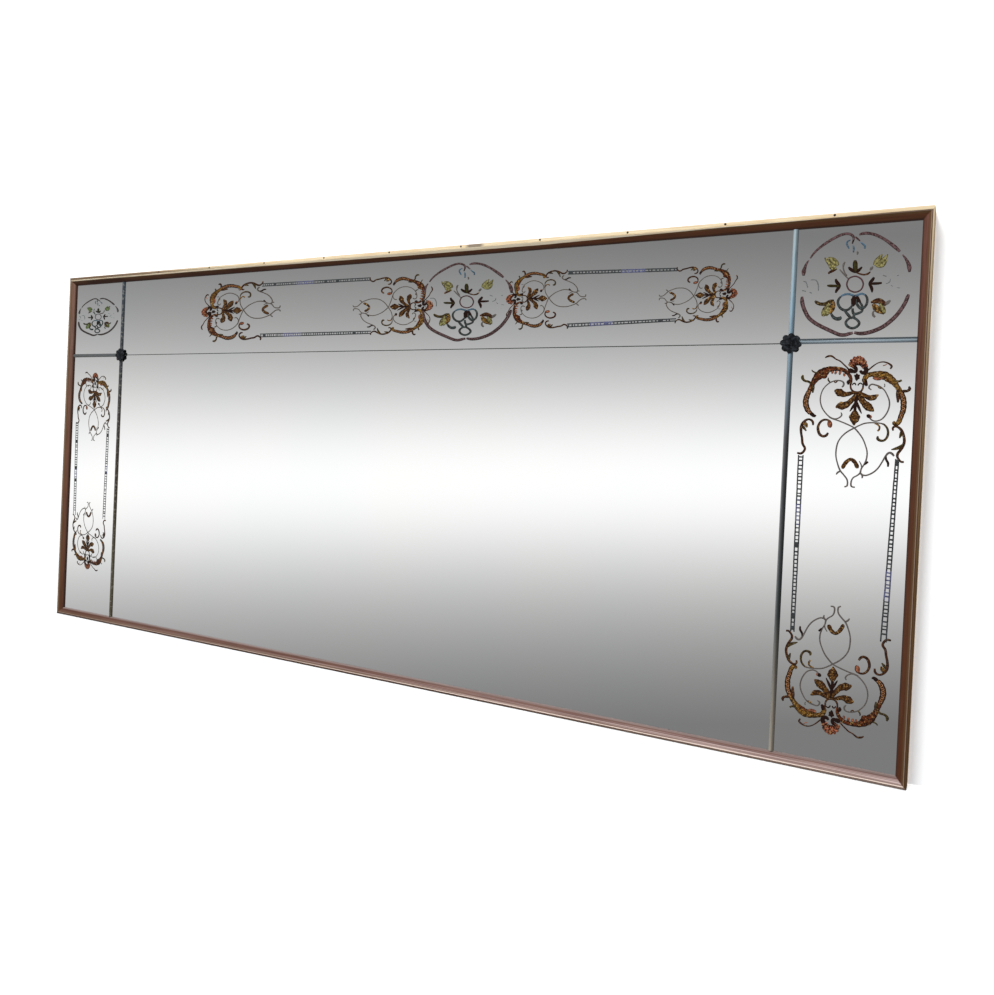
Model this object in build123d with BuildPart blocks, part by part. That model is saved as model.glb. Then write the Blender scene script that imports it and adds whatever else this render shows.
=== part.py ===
from build123d import *
from math import asin, cos, sin
import os

# A long wall mirror of six silvered panes in a mitred moulding.
# +Z is up, -Y faces the room and the wall is the plane y = 0. The origin is on the wall face of
# the centre batten, level with the middle of the sight opening.
# Two measures are used on the frame: "out" is measured away from the sight edge, in the plane of
# the glass, and "up" is measured from the front of the glass towards the room.

# Sight opening and panes
sight_width = 2320.0
sight_height = 987.0
corner_pane = 214.6
glass_thickness = 4.0
pane_gap = 0.5
pane_arris = 0.8
pane_cover = 5.0

# Layers behind the glass
paper_thickness = 0.3
board_thickness = 6.0
batten_thickness = 18.0
batten_width = 45.0
board_play = 0.5

# Moulding
face_width = 19.0
top_face_width = 22.0
rabbet_width = 6.0
lip_height = 2.0
slope_bulge = 0.7
crest_out = 14.2
crest_height = 12.5
quirk_out = 15.0
quirk_height = 11.2
bead_top_out = 17.2
bead_top_height = 12.3
bead_side_height = 10.2
outer_corner_radius = 3.0

# Nailed slip along the top
slip_seat_height = 6.0
slip_height = 12.0
slip_arris = 0.6
slip_round = 1.6
nail_count = 11
nail_pitch = 200.0
nail_shift = 14.0
nail_out = 18.6
nail_head_radius = 2.3
nail_head_height = 0.9
nail_shank_radius = 1.0
nail_length = 13.0

# Half-round strips over the joints
strip_width = 10.0
strip_height = 4.8
strip_start = 7.5
right_cross_lift = 3.5

# Rosettes and their bolts
rosette_radius = 19.5
petal_count = 8
petal_radius = 6.9
petal_centre = 12.6
rosette_seat = 5.0
rosette_rim_height = 6.2
rosette_mid_height = 7.6
rosette_mid_radius = 12.0
rosette_hub_height = 8.4
rosette_hub_radius = 6.0
boss_radius = 6.4
pad_thickness = 0.6
pad_radius = 6.4
bolt_radius = 2.5
bolt_hole_radius = 3.0
glass_notch_radius = 4.0
dome_radius = 5.4
dome_height = 3.2
back_washer_radius = 8.0
back_washer_thickness = 1.2
nut_height = 4.0
nut_across_flats = 8.0
bolt_end_past_nut = 1.5

# Screws
board_screw_head = 3.5
board_screw_sink = 2.0
board_screw_shank = 1.5
board_screw_length = 17.0
frame_screw_head = 4.0
frame_screw_sink = 2.4
frame_screw_shank = 1.75
frame_screw_length = 31.0
frame_screw_out = 12.5
frame_screw_inset = 1.0
rail_screw_count = 8
rail_screw_pitch = 310.0
stile_screw_count = 3
stile_screw_pitch = 330.0
board_row_count = 9
board_row_pitch = 260.0
board_row_inset = 30.0
board_upright_count = 3
board_upright_pitch = 300.0
slot_width = 0.9
slot_depth = 1.0
slot_turn = 35.0

# Hangers
block_width = 50.0
block_height = 110.0
block_thickness = 10.0
hanger_height = 300.0
strap_width = 18.0
strap_length = 68.0
strap_thickness = 1.4
ring_wire_radius = 2.0
ring_clearance = 0.05
ring_axis_depth = 4.0
ring_half_width = 15.0
ring_corner = 4.0
ring_straight = 10.0
strap_screw_head = 3.6
strap_screw_shank = 2.0
strap_screw_length = 15.0
strap_screw_drops = (15.0, 38.0, 60.0)

# Packing under the panes
packing_length = 40.0
packing_height = 1.0

# Worked out from the above
half_width = sight_width / 2
half_height = sight_height / 2
board_back = -batten_thickness
board_front = board_back - board_thickness
paper_front = board_front - paper_thickness
glass_front = paper_front - glass_thickness
back_drop = glass_front - board_back
outer_half_width = half_width + face_width
bottom_edge = -half_height - face_width
top_edge = half_height + top_face_width
joint_x = half_width - corner_pane
joint_z = half_height - corner_pane
room = Vector(0, -1, 0)
wall = Vector(0, 1, 0)
from_base = (Align.CENTER, Align.CENTER, Align.MIN)

os.makedirs("parts", exist_ok=True)
names_written = []


def keep(builder, name):
    builder.part.label = name
    export_step(builder.part, f"parts/{name}.step")
    names_written.append(name)


def member_plane(outward):
    """Plane across a frame member: local x runs out from the sight edge, local y to the room."""
    middle = Vector(outward.X * half_width, glass_front, outward.Z * half_height)
    return Plane(origin=middle, x_dir=outward, z_dir=outward.cross(room))


def front_plane(height):
    """Plane facing the room at a height above the front of the glass: local y is up."""
    return Plane.XZ.offset(-(glass_front - height))


def spread(count, pitch):
    """Evenly spaced distances, centred on nought."""
    return [pitch * (i - (count - 1) / 2) for i in range(count)]


def driven(places, start, towards):
    """Locations for holes or screws at (x, z) places, from the depth start towards wall or room."""
    return [Plane(origin=(x, start, z), x_dir=(1, 0, 0), z_dir=towards).location for x, z in places]


def drill(places, start, towards, depth, radius):
    """Straight holes in the piece being made."""
    with Locations(*driven(places, start, towards)):
        Cylinder(radius, depth, align=from_base, mode=Mode.SUBTRACT)


def countersink(places, start, towards, depth, head, shank):
    """Conical seats for screw heads in the piece being made."""
    with Locations(*driven(places, start, towards)):
        Cone(head, shank, depth, align=from_base, mode=Mode.SUBTRACT)


def cap_middle(radius, height):
    """Point halfway along the arc of a spherical cap, as (distance from its axis, rise)."""
    sphere = (radius**2 + height**2) / (2 * height)
    half_angle = asin(radius / sphere) / 2
    return sphere * sin(half_angle), height - sphere * (1 - cos(half_angle))


def mitred_footprint(outward):
    """The member's share of the frame, seen from the room: a strip cut at 45 degrees."""
    reach = 2 * top_face_width
    with BuildSketch(Plane.XZ) as share:
        with Locations((0, (top_edge + bottom_edge) / 2)):
            RectangleRounded(2 * outer_half_width, top_edge - bottom_edge, outer_corner_radius)
        if outward.Z:
            near = outward.Z * half_height
            far = outward.Z * (half_height + reach)
            ends = [(-half_width, near), (half_width, near)]
            ends += [(half_width + reach, far), (-half_width - reach, far)]
        else:
            near = outward.X * half_width
            far = outward.X * (half_width + reach)
            ends = [(near, -half_height), (near, half_height)]
            ends += [(far, half_height + reach), (far, -half_height - reach)]
        Polygon(*ends, align=None, mode=Mode.INTERSECT)
    return share.sketch


# Frame members: a stained slope with a pale bead on its outer edge. The top one has a seat for a
# nailed slip where the others have their bead.
frame_sides = {
    "rail_top": Vector(0, 0, 1),
    "rail_bottom": Vector(0, 0, -1),
    "stile_left": Vector(-1, 0, 0),
    "stile_right": Vector(1, 0, 0),
}
nail_seat = glass_front - slip_height
nail_spots = [(x + nail_shift, half_height + nail_out) for x in spread(nail_count, nail_pitch)]


def frame_screw_places(name):
    """The (x, z) places of the screws that hold a member to the battens."""
    outward = frame_sides[name]
    if outward.Z:
        z = outward.Z * (half_height + frame_screw_out)
        return [(x, z) for x in spread(rail_screw_count, rail_screw_pitch)]
    x = outward.X * (half_width + frame_screw_out)
    return [(x, z) for z in spread(stile_screw_count, stile_screw_pitch)]


for name, outward in frame_sides.items():
    is_top = name == "rail_top"
    member_width = top_face_width if is_top else face_width
    with BuildPart() as member:
        with BuildSketch(member_plane(outward)):
            with BuildLine():
                middle = (crest_out / 2 - slope_bulge / 2, (lip_height + crest_height) / 2 + slope_bulge / 2)
                Line((0, 0), (0, lip_height))
                ThreePointArc((0, lip_height), middle, (crest_out, crest_height))
                Line((crest_out, crest_height), (quirk_out, quirk_height))
                if is_top:
                    Line((quirk_out, quirk_height), (quirk_out, slip_seat_height))
                    Line((quirk_out, slip_seat_height), (member_width, slip_seat_height))
                    Line((member_width, slip_seat_height), (member_width, back_drop))
                else:
                    bead_top = (bead_top_out, bead_top_height)
                    ThreePointArc((quirk_out, quirk_height), bead_top, (member_width, bead_side_height))
                    Line((member_width, bead_side_height), (member_width, back_drop))
                Line((member_width, back_drop), (rabbet_width, back_drop))
                Line((rabbet_width, back_drop), (rabbet_width, 0))
                Line((rabbet_width, 0), (0, 0))
            make_face()
        extrude(amount=outer_half_width + member_width, both=True)
        extrude(mitred_footprint(outward), amount=2 * batten_width, mode=Mode.INTERSECT)
        drill(frame_screw_places(name), 0, room, frame_screw_inset + frame_screw_length, frame_screw_shank)
        if is_top:
            drill(nail_spots, nail_seat, wall, nail_length, nail_shank_radius)
    keep(member, name)

# The pale slip in the top rail's seat, and its nails
with BuildPart() as top_slip:
    with BuildSketch(member_plane(frame_sides["rail_top"])):
        with BuildLine():
            round_middle = slip_round * (1 - 0.5 ** 0.5)
            Line((quirk_out, slip_seat_height), (quirk_out, slip_height - slip_arris))
            Line((quirk_out, slip_height - slip_arris), (quirk_out + slip_arris, slip_height))
            Line((quirk_out + slip_arris, slip_height), (top_face_width - slip_round, slip_height))
            ThreePointArc(
                (top_face_width - slip_round, slip_height),
                (top_face_width - round_middle, slip_height - round_middle),
                (top_face_width, slip_height - slip_round),
            )
            Line((top_face_width, slip_height - slip_round), (top_face_width, slip_seat_height))
            Line((top_face_width, slip_seat_height), (quirk_out, slip_seat_height))
        make_face()
    extrude(amount=outer_half_width + top_face_width, both=True)
    extrude(mitred_footprint(frame_sides["rail_top"]), amount=2 * batten_width, mode=Mode.INTERSECT)
    drill(nail_spots, nail_seat, wall, nail_length, nail_shank_radius)
keep(top_slip, "top_slip")

with BuildPart() as slip_nails:
    cap_out, cap_rise = cap_middle(nail_head_radius, nail_head_height)
    for x, z in nail_spots:
        with BuildSketch(Plane(origin=(x, nail_seat, z), x_dir=(1, 0, 0), z_dir=(0, 0, 1))):
            with BuildLine():
                Line((0, nail_length), (nail_shank_radius, nail_length))
                Line((nail_shank_radius, nail_length), (nail_shank_radius, 0))
                Line((nail_shank_radius, 0), (nail_head_radius, 0))
                ThreePointArc((nail_head_radius, 0), (cap_out, -cap_rise), (0, -nail_head_height))
                Line((0, -nail_head_height), (0, nail_length))
            make_face()
        revolve(axis=Axis((x, nail_seat, z), (0, 1, 0)))
keep(slip_nails, "slip_nails")

# Panes: a large centre pane, a frieze above it, tall side panes and square corner panes
under_lip_x = half_width + pane_cover
under_lip_z = half_height + pane_cover
side_x = (joint_x + pane_gap / 2, under_lip_x)
middle_x = (-joint_x + pane_gap / 2, joint_x - pane_gap / 2)
frieze_z = (joint_z + pane_gap / 2, under_lip_z)
lower_z = (-under_lip_z, joint_z - pane_gap / 2)
panes = {
    "pane_corner_left": ((-side_x[1], -side_x[0]), frieze_z),
    "pane_frieze": (middle_x, frieze_z),
    "pane_corner_right": (side_x, frieze_z),
    "pane_side_left": ((-side_x[1], -side_x[0]), lower_z),
    "pane_centre": (middle_x, lower_z),
    "pane_side_right": (side_x, lower_z),
}
crossings = [(-joint_x, joint_z), (joint_x, joint_z)]
for name, (x_span, z_span) in panes.items():
    with BuildPart() as pane:
        with BuildSketch(front_plane(-glass_thickness)):
            with Locations(((x_span[0] + x_span[1]) / 2, (z_span[0] + z_span[1]) / 2)):
                Rectangle(x_span[1] - x_span[0], z_span[1] - z_span[0])
        extrude(amount=glass_thickness)
        chamfer(pane.faces().sort_by(Axis.Y)[0].edges(), pane_arris)
        with BuildSketch(front_plane(0)):
            with Locations(*crossings):
                Circle(glass_notch_radius)
        extrude(amount=-glass_thickness, mode=Mode.SUBTRACT)
    keep(pane, name)

# Half-round strips over the joints between rosette and frame. The right level one is set a little
# above its joint.
strips = {
    "strip_left_upper": (Vector(-joint_x, 0, joint_z), Vector(0, 0, 1), half_height - joint_z),
    "strip_right_upper": (Vector(joint_x, 0, joint_z), Vector(0, 0, 1), half_height - joint_z),
    "strip_left_lower": (Vector(-joint_x, 0, joint_z), Vector(0, 0, -1), half_height + joint_z),
    "strip_right_lower": (Vector(joint_x, 0, joint_z), Vector(0, 0, -1), half_height + joint_z),
    "strip_left_cross": (Vector(-joint_x, 0, joint_z), Vector(-1, 0, 0), half_width - joint_x),
    "strip_right_cross": (
        Vector(joint_x, 0, joint_z + right_cross_lift), Vector(1, 0, 0), half_width - joint_x
    ),
}
for name, (crossing, direction, reach) in strips.items():
    start = crossing + direction * strip_start + Vector(0, glass_front, 0)
    with BuildPart() as strip:
        with BuildSketch(Plane(origin=start, x_dir=room.cross(direction), z_dir=direction)):
            with BuildLine():
                side = strip_width / 2
                Line((-side, 0), (side, 0))
                ThreePointArc((side, 0), (0, strip_height), (-side, 0))
            make_face()
        extrude(amount=reach - strip_start)
    keep(strip, name)

# Rosettes over the crossings: cast flowers with a boss that stands on a pad between the panes
for name, (x, z) in zip(("rosette_left", "rosette_right"), crossings):
    axis_plane = Plane(origin=(x, glass_front, z), x_dir=(1, 0, 0), z_dir=(0, 0, 1))
    spin = Axis((x, glass_front, z), (0, 1, 0))
    with BuildPart() as rosette:
        with BuildSketch(axis_plane):
            with BuildLine():
                Polyline(
                    (bolt_radius, -pad_thickness),
                    (boss_radius, -pad_thickness),
                    (boss_radius, -rosette_seat),
                    (rosette_radius, -rosette_seat),
                    (rosette_radius, -rosette_rim_height),
                )
                ThreePointArc(
                    (rosette_radius, -rosette_rim_height),
                    (rosette_mid_radius, -rosette_mid_height),
                    (rosette_hub_radius, -rosette_hub_height),
                )
                Polyline(
                    (rosette_hub_radius, -rosette_hub_height),
                    (bolt_radius, -rosette_hub_height),
                    (bolt_radius, -pad_thickness),
                )
            make_face()
        revolve(axis=spin)
        with BuildSketch(Plane.XZ):
            with Locations((x, z)):
                Circle(petal_centre)
                with PolarLocations(petal_centre, petal_count, start_angle=180 / petal_count):
                    Circle(petal_radius)
        extrude(amount=2 * batten_width, mode=Mode.INTERSECT)
    keep(rosette, name)


def turned_pair(name, outline):
    """A pair of turned pieces on the two crossings, from an outline of (radius, up) points."""
    with BuildPart() as pair:
        for x, z in crossings:
            with BuildSketch(Plane(origin=(x, glass_front, z), x_dir=(1, 0, 0), z_dir=(0, 0, 1))):
                with BuildLine():
                    Polyline(*[(radius, -up) for radius, up in outline], close=True)
                make_face()
            revolve(axis=Axis((x, glass_front, z), (0, 1, 0)))
    keep(pair, name)


turned_pair(
    "rosette_pads",
    [(bolt_radius, 0), (pad_radius, 0), (pad_radius, pad_thickness), (bolt_radius, pad_thickness)],
)
washer_back = back_drop - back_washer_thickness
turned_pair(
    "rosette_washers",
    [
        (bolt_radius, back_drop),
        (back_washer_radius, back_drop),
        (back_washer_radius, washer_back),
        (bolt_radius, washer_back),
    ],
)

with BuildPart() as rosette_bolts:
    bolt_end = washer_back - nut_height - bolt_end_past_nut
    cap_out, cap_rise = cap_middle(dome_radius, dome_height)
    for x, z in crossings:
        with BuildSketch(Plane(origin=(x, glass_front, z), x_dir=(1, 0, 0), z_dir=(0, 0, 1))):
            with BuildLine():
                Polyline(
                    (0, -rosette_hub_height - dome_height),
                    (0, -bolt_end),
                    (bolt_radius, -bolt_end),
                    (bolt_radius, -rosette_hub_height),
                    (dome_radius, -rosette_hub_height),
                )
                ThreePointArc(
                    (dome_radius, -rosette_hub_height),
                    (cap_out, -rosette_hub_height - cap_rise),
                    (0, -rosette_hub_height - dome_height),
                )
            make_face()
        revolve(axis=Axis((x, glass_front, z), (0, 1, 0)))
keep(rosette_bolts, "rosette_bolts")

with BuildPart() as rosette_nuts:
    with BuildSketch(front_plane(washer_back)):
        with Locations(*crossings):
            RegularPolygon(nut_across_flats / 2, 6, major_radius=False)
            Circle(bolt_radius, mode=Mode.SUBTRACT)
    extrude(amount=-nut_height)
keep(rosette_nuts, "rosette_nuts")

# Packing pieces that the lower panes stand on in the bottom rabbet
with BuildPart() as glass_packing:
    with BuildSketch(front_plane(-glass_thickness)):
        for x_span, _ in (panes["pane_side_left"], panes["pane_centre"], panes["pane_side_right"]):
            quarter = (x_span[1] - x_span[0]) / 4
            with Locations(*[((x_span[0] + x_span[1]) / 2 + s * quarter, -under_lip_z) for s in (-1, 1)]):
                Rectangle(packing_length, packing_height, align=(Align.CENTER, Align.MAX))
    extrude(amount=glass_thickness)
keep(glass_packing, "glass_packing")

# Battens on the back of the board: two rails, two outer uprights and three inner ones
inner_upright = 2 * (half_height + face_width - batten_width)
rail_length = 2 * outer_half_width
outer_upright_x = outer_half_width - batten_width / 2
rail_z = half_height + face_width - batten_width / 2
inner_upright_x = outer_upright_x / 2
board_upright_x = outer_half_width - board_row_inset
battens = {
    "batten_top": (0, rail_z, rail_length, batten_width),
    "batten_bottom": (0, -rail_z, rail_length, batten_width),
    "batten_left": (-outer_upright_x, 0, batten_width, inner_upright),
    "batten_right": (outer_upright_x, 0, batten_width, inner_upright),
    "batten_inner_left": (-inner_upright_x, 0, batten_width, inner_upright),
    "batten_centre": (0, 0, batten_width, inner_upright),
    "batten_inner_right": (inner_upright_x, 0, batten_width, inner_upright),
}
board_row_z = half_height + face_width - board_row_inset
board_screw_places = [(x, s * board_row_z) for s in (-1, 1) for x in spread(board_row_count, board_row_pitch)]
board_screw_places += [
    (x, z)
    for x in (-board_upright_x, -inner_upright_x, 0, inner_upright_x, board_upright_x)
    for z in spread(board_upright_count, board_upright_pitch)
]
all_frame_screws = [place for name in frame_sides for place in frame_screw_places(name)]


def within(places, x, z, width, height):
    """The places that lie on a batten."""
    return [place for place in places if abs(place[0] - x) < width / 2 and abs(place[1] - z) < height / 2]


for name, (x, z, width, height) in battens.items():
    with BuildPart() as batten:
        with BuildSketch(Plane.XZ):
            with Locations((x, z)):
                Rectangle(width, height)
        extrude(amount=batten_thickness)
        through = within(all_frame_screws, x, z, width, height)
        held = within(board_screw_places, x, z, width, height)
        if through:
            drill(through, 0, room, frame_screw_inset, frame_screw_head)
            countersink(
                through, -frame_screw_inset, room, frame_screw_sink, frame_screw_head, frame_screw_shank
            )
            drill(through, 0, room, batten_thickness, frame_screw_shank)
        if held:
            drill(held, board_front, wall, board_screw_length, board_screw_shank)
    keep(batten, name)

# Plywood board and the paper between it and the silvering
hanger_x = outer_half_width - batten_width - block_width / 2
strap_screws = [(s * hanger_x, hanger_height - drop) for s in (-1, 1) for drop in strap_screw_drops]
block_back = -(batten_thickness - block_thickness)
strap_back = block_back + strap_thickness
with BuildPart() as backing_board:
    board_reach = 2 * (rabbet_width - board_play)
    with BuildSketch(Plane.XZ.offset(-board_back)):
        Rectangle(sight_width + board_reach, sight_height + board_reach)
        with Locations(*crossings):
            Circle(bolt_hole_radius, mode=Mode.SUBTRACT)
    extrude(amount=board_thickness)
    countersink(board_screw_places, board_front, wall, board_screw_sink, board_screw_head, board_screw_shank)
    drill(board_screw_places, board_front, wall, board_thickness, board_screw_shank)
    drill(strap_screws, strap_back, room, strap_screw_length, strap_screw_shank)
keep(backing_board, "backing_board")

with BuildPart() as backing_paper:
    with BuildSketch(Plane.XZ.offset(-board_front)):
        Rectangle(sight_width + 2 * pane_cover, sight_height + 2 * pane_cover)
        with Locations(*crossings):
            Circle(bolt_hole_radius, mode=Mode.SUBTRACT)
    extrude(amount=paper_thickness)
keep(backing_paper, "backing_paper")


def slotted_screws(name, places, start, towards, length, head, sink, shank):
    """Countersunk screws with a slot across each head."""
    with BuildPart() as screws:
        with Locations(*driven(places, start, towards)):
            Cone(head, shank, sink, align=from_base)
            Cylinder(shank, length, align=from_base)
            turn = (0, 0, slot_turn)
            Box(2 * head, slot_width, slot_depth, rotation=turn, align=from_base, mode=Mode.SUBTRACT)
    keep(screws, name)


slotted_screws(
    "board_screws", board_screw_places, board_front, wall,
    board_screw_length, board_screw_head, board_screw_sink, board_screw_shank,
)
slotted_screws(
    "frame_screws", all_frame_screws, -frame_screw_inset, room,
    frame_screw_length, frame_screw_head, frame_screw_sink, frame_screw_shank,
)
slotted_screws(
    "hanger_screws", strap_screws, strap_back, room,
    strap_screw_length, strap_screw_head, strap_thickness, strap_screw_shank,
)

# Hangers: a block beside each outer upright, a steel strap on it and a ring that swings in it
for side, sign in (("left", -1), ("right", 1)):
    own_screws = [place for place in strap_screws if place[0] * sign > 0]
    with BuildPart() as block:
        with BuildSketch(Plane.XZ.offset(-block_back)):
            with Locations((sign * hanger_x, hanger_height + block_height / 4)):
                Rectangle(block_width, block_height, align=(Align.CENTER, Align.MAX))
        extrude(amount=block_thickness)
        drill(own_screws, strap_back, room, strap_screw_length, strap_screw_shank)
    keep(block, f"hanger_block_{side}")

    pivot = Vector(sign * hanger_x, -ring_axis_depth, hanger_height)
    bore_radius = ring_wire_radius + ring_clearance
    knuckle_radius = bore_radius + strap_thickness
    knuckle_plane = Plane(origin=pivot, x_dir=(0, 1, 0), z_dir=(1, 0, 0))
    with BuildPart() as strap:
        with BuildSketch(Plane.XZ.offset(-strap_back)):
            with Locations((sign * hanger_x, hanger_height)):
                Rectangle(strap_width, strap_length, align=(Align.CENTER, Align.MAX))
        extrude(amount=strap_thickness)
        lower_corners = strap.edges().filter_by(Axis.Y).group_by(Axis.Z)[0]
        fillet(lower_corners, strap_width / 3)
        with BuildSketch(knuckle_plane):
            Circle(knuckle_radius)
        extrude(amount=strap_width / 2, both=True)
        with BuildSketch(knuckle_plane):
            Circle(bore_radius)
        extrude(amount=strap_width / 2, both=True, mode=Mode.SUBTRACT)
        countersink(own_screws, strap_back, room, strap_thickness, strap_screw_head, strap_screw_shank)
    keep(strap, f"hanger_strap_{side}")

    with BuildPart() as ring:
        ring_plane = Plane(origin=pivot, x_dir=(1, 0, 0), z_dir=(0, -1, 0))
        with BuildLine(ring_plane):
            bar = ring_half_width - ring_corner
            drop = ring_corner + ring_straight
            Line((0, 0), (bar, 0))
            RadiusArc((bar, 0), (ring_half_width, -ring_corner), ring_corner)
            Line((ring_half_width, -ring_corner), (ring_half_width, -drop))
            RadiusArc((ring_half_width, -drop), (-ring_half_width, -drop), ring_half_width)
            Line((-ring_half_width, -drop), (-ring_half_width, -ring_corner))
            RadiusArc((-ring_half_width, -ring_corner), (-bar, 0), ring_corner)
            Line((-bar, 0), (0, 0))
        with BuildSketch(Plane(origin=pivot, x_dir=(0, 1, 0), z_dir=(1, 0, 0))):
            Circle(ring_wire_radius)
        sweep()
    keep(ring, f"hanger_ring_{side}")

print(len(names_written), "pieces written")
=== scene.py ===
"""Bistro mirror: the looks of a long wall mirror of six silvered panes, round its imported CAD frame.

Metres: +X is right as seen from the room, +Y goes into the wall, +Z is up, and the glass faces -Y.
"""

import bpy
import numpy as np
from mathutils import Matrix, Vector


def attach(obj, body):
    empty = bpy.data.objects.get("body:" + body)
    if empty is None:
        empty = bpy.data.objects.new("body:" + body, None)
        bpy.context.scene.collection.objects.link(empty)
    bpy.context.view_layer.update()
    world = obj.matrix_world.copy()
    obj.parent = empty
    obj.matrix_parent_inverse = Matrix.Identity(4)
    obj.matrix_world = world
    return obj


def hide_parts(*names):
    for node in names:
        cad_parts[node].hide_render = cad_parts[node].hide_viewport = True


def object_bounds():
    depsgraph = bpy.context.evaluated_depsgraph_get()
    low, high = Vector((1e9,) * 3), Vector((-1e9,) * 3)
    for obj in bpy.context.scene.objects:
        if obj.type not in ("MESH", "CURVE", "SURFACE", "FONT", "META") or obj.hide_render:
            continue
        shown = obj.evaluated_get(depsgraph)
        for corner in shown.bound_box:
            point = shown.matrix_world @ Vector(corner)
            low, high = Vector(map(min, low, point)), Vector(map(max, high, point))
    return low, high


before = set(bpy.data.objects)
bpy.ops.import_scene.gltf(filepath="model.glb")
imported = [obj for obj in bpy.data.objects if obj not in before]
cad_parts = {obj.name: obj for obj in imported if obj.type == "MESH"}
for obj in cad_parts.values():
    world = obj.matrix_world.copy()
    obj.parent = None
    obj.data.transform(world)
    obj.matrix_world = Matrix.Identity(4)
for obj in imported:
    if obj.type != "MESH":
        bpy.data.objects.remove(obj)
cad_box = [list(corner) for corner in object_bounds()]


# Backing board and paper
# A plywood board closes the back, with its face grain along the mirror. A sheet of brown paper
# lies between it and the silvering.
class Wire:
    """An output socket. Arithmetic on wires adds Math nodes, and node() adds any other node."""

    def __init__(self, socket):
        self.socket = socket
        self.tree = socket.id_data

    @staticmethod
    def node(tree, kind, settings=None, values=None, output=0):
        """A node of that kind: first its settings, a ramp's stops among them as (place, colour)
        pairs, and then the numbers, colours or wires of its sockets."""
        made = tree.nodes.new("ShaderNode" + kind)
        for key, value in (settings or {}).items():
            if key != "stops":
                setattr(made, key, value)
                continue
            stops = made.color_ramp.elements
            stops.remove(stops[1])
            for number, (place, colour) in enumerate(value):
                stop = stops.new(place) if number else stops[0]
                stop.position = place
                stop.color = (*colour, 1)
        for key, value in (values or {}).items():
            if isinstance(value, Wire):
                tree.links.new(value.socket, made.inputs[key])
            else:
                made.inputs[key].default_value = value
        return Wire(made.outputs[output]) if made.outputs else None

    def maths(self, operation, first, second=0.0):
        return Wire.node(self.tree, "Math", {"operation": operation}, {0: first, 1: second})

    def __add__(self, other):
        return self.maths("ADD", self, other)

    __radd__ = __add__

    def __sub__(self, other):
        return self.maths("SUBTRACT", self, other)

    def __rsub__(self, other):
        return self.maths("SUBTRACT", other, self)

    def __mul__(self, other):
        return self.maths("MULTIPLY", self, other)

    __rmul__ = __mul__

    def __truediv__(self, other):
        return self.maths("DIVIDE", self, other)

    def __rtruediv__(self, other):
        return self.maths("DIVIDE", other, self)

    def __pow__(self, other):
        return self.maths("POWER", self, other)

    def at_least(self, other):
        return self.maths("MAXIMUM", self, other)

    def rising(self, low, high):
        """0 up to low and 1 past high, with a smooth change between them."""
        settings = {"interpolation_type": "SMOOTHSTEP"}
        return Wire.node(self.tree, "MapRange", settings, {0: self, 1: low, 2: high, 3: 0.0, 4: 1.0})

    def ramp(self, *stops):
        """The colour that (place, colour) stops give to a value."""
        return Wire.node(self.tree, "ValToRGB", {"stops": stops}, {0: self})

    def axes(self):
        """The x, y and z of a place."""
        return [Wire.node(self.tree, "SeparateXYZ", values={0: self}, output=i) for i in range(3)]

    def noise(self, grain, stretch=(1, 1, 1), detail=3.0, shift=0.0):
        """Noise with grains of that size in metres, drawn out along each axis by the stretch."""
        scale = tuple(1 / (grain * part) for part in stretch)
        values = {"Vector": self, "Location": (shift, shift, shift), "Scale": scale}
        mapped = Wire.node(self.tree, "Mapping", values=values)
        return Wire.node(self.tree, "TexNoise", values={"Vector": mapped, "Scale": 1.0, "Detail": detail})

    def bump(self, depth):
        """A normal for a surface that rises by the depth, in metres, as this goes from 0 to 1."""
        return Wire.node(self.tree, "Bump", values={"Height": self, "Distance": depth})


def rgb(red, green, blue):
    """Linear colour of a screen colour in steps of 255: ((c + 0.055) / 1.055) to the power 2.4."""
    return tuple(((np.array((red, green, blue)) / 255 + 0.055) / 1.055) ** 2.4)


def blend(mask, low, high, how="MIX"):
    """The colour low where the mask is 0, and high where it is 1."""
    low, high = (colour if isinstance(colour, Wire) else (*colour, 1) for colour in (low, high))
    settings = {"data_type": "RGBA", "blend_type": how}
    return Wire.node(mask.tree, "Mix", settings, {0: mask, 6: low, 7: high}, 2)


def material(name, build, **fixed):
    """One Principled shader: build takes the piece's own coordinates and gives the sockets that
    vary, and fixed gives the others, with _ for a space."""
    made = bpy.data.materials.new(name)
    made.use_nodes = True
    tree = made.node_tree
    tree.nodes.clear()
    values = {key.replace("_", " "): value for key, value in fixed.items()}
    values.update(build(Wire.node(tree, "TexCoord", output="Object")))
    shader = Wire.node(tree, "BsdfPrincipled", values=values)
    Wire.node(tree, "OutputMaterial", values={0: shader})
    return made


def dress(node, finish):
    """Puts a material on a CAD node."""
    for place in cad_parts[node].material_slots:
        place.material = finish


def plywood(place):
    figure = place.noise(0.010, (26, 1, 1), 6)
    patches = place.noise(0.22, (2.5, 1, 1), 2, 3.0)
    face = figure.ramp((0.28, rgb(176, 140, 94)), (0.52, rgb(208, 176, 128)), (0.74, rgb(222, 194, 150)))
    face = blend(patches.rising(0.42, 0.75) * 0.5, face, rgb(164, 126, 84))
    return {"Base Color": face, "Roughness": 0.6 + figure * 0.2, "Normal": figure.bump(0.0002)}


def brown_paper(place):
    fibre = place.noise(0.0022, (3, 1, 1), 6)
    cloud = place.noise(0.06)
    face = blend(cloud.rising(0.35, 0.7), rgb(150, 116, 76), rgb(172, 138, 96))
    face = blend(fibre.rising(0.45, 0.8) * 0.4, face, rgb(108, 78, 48))
    return {"Base Color": face, "Normal": fibre.bump(0.0001)}


dress("backing_board", material("plywood", plywood))
dress("backing_paper", material("brown_paper", brown_paper, Roughness=0.85))


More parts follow.
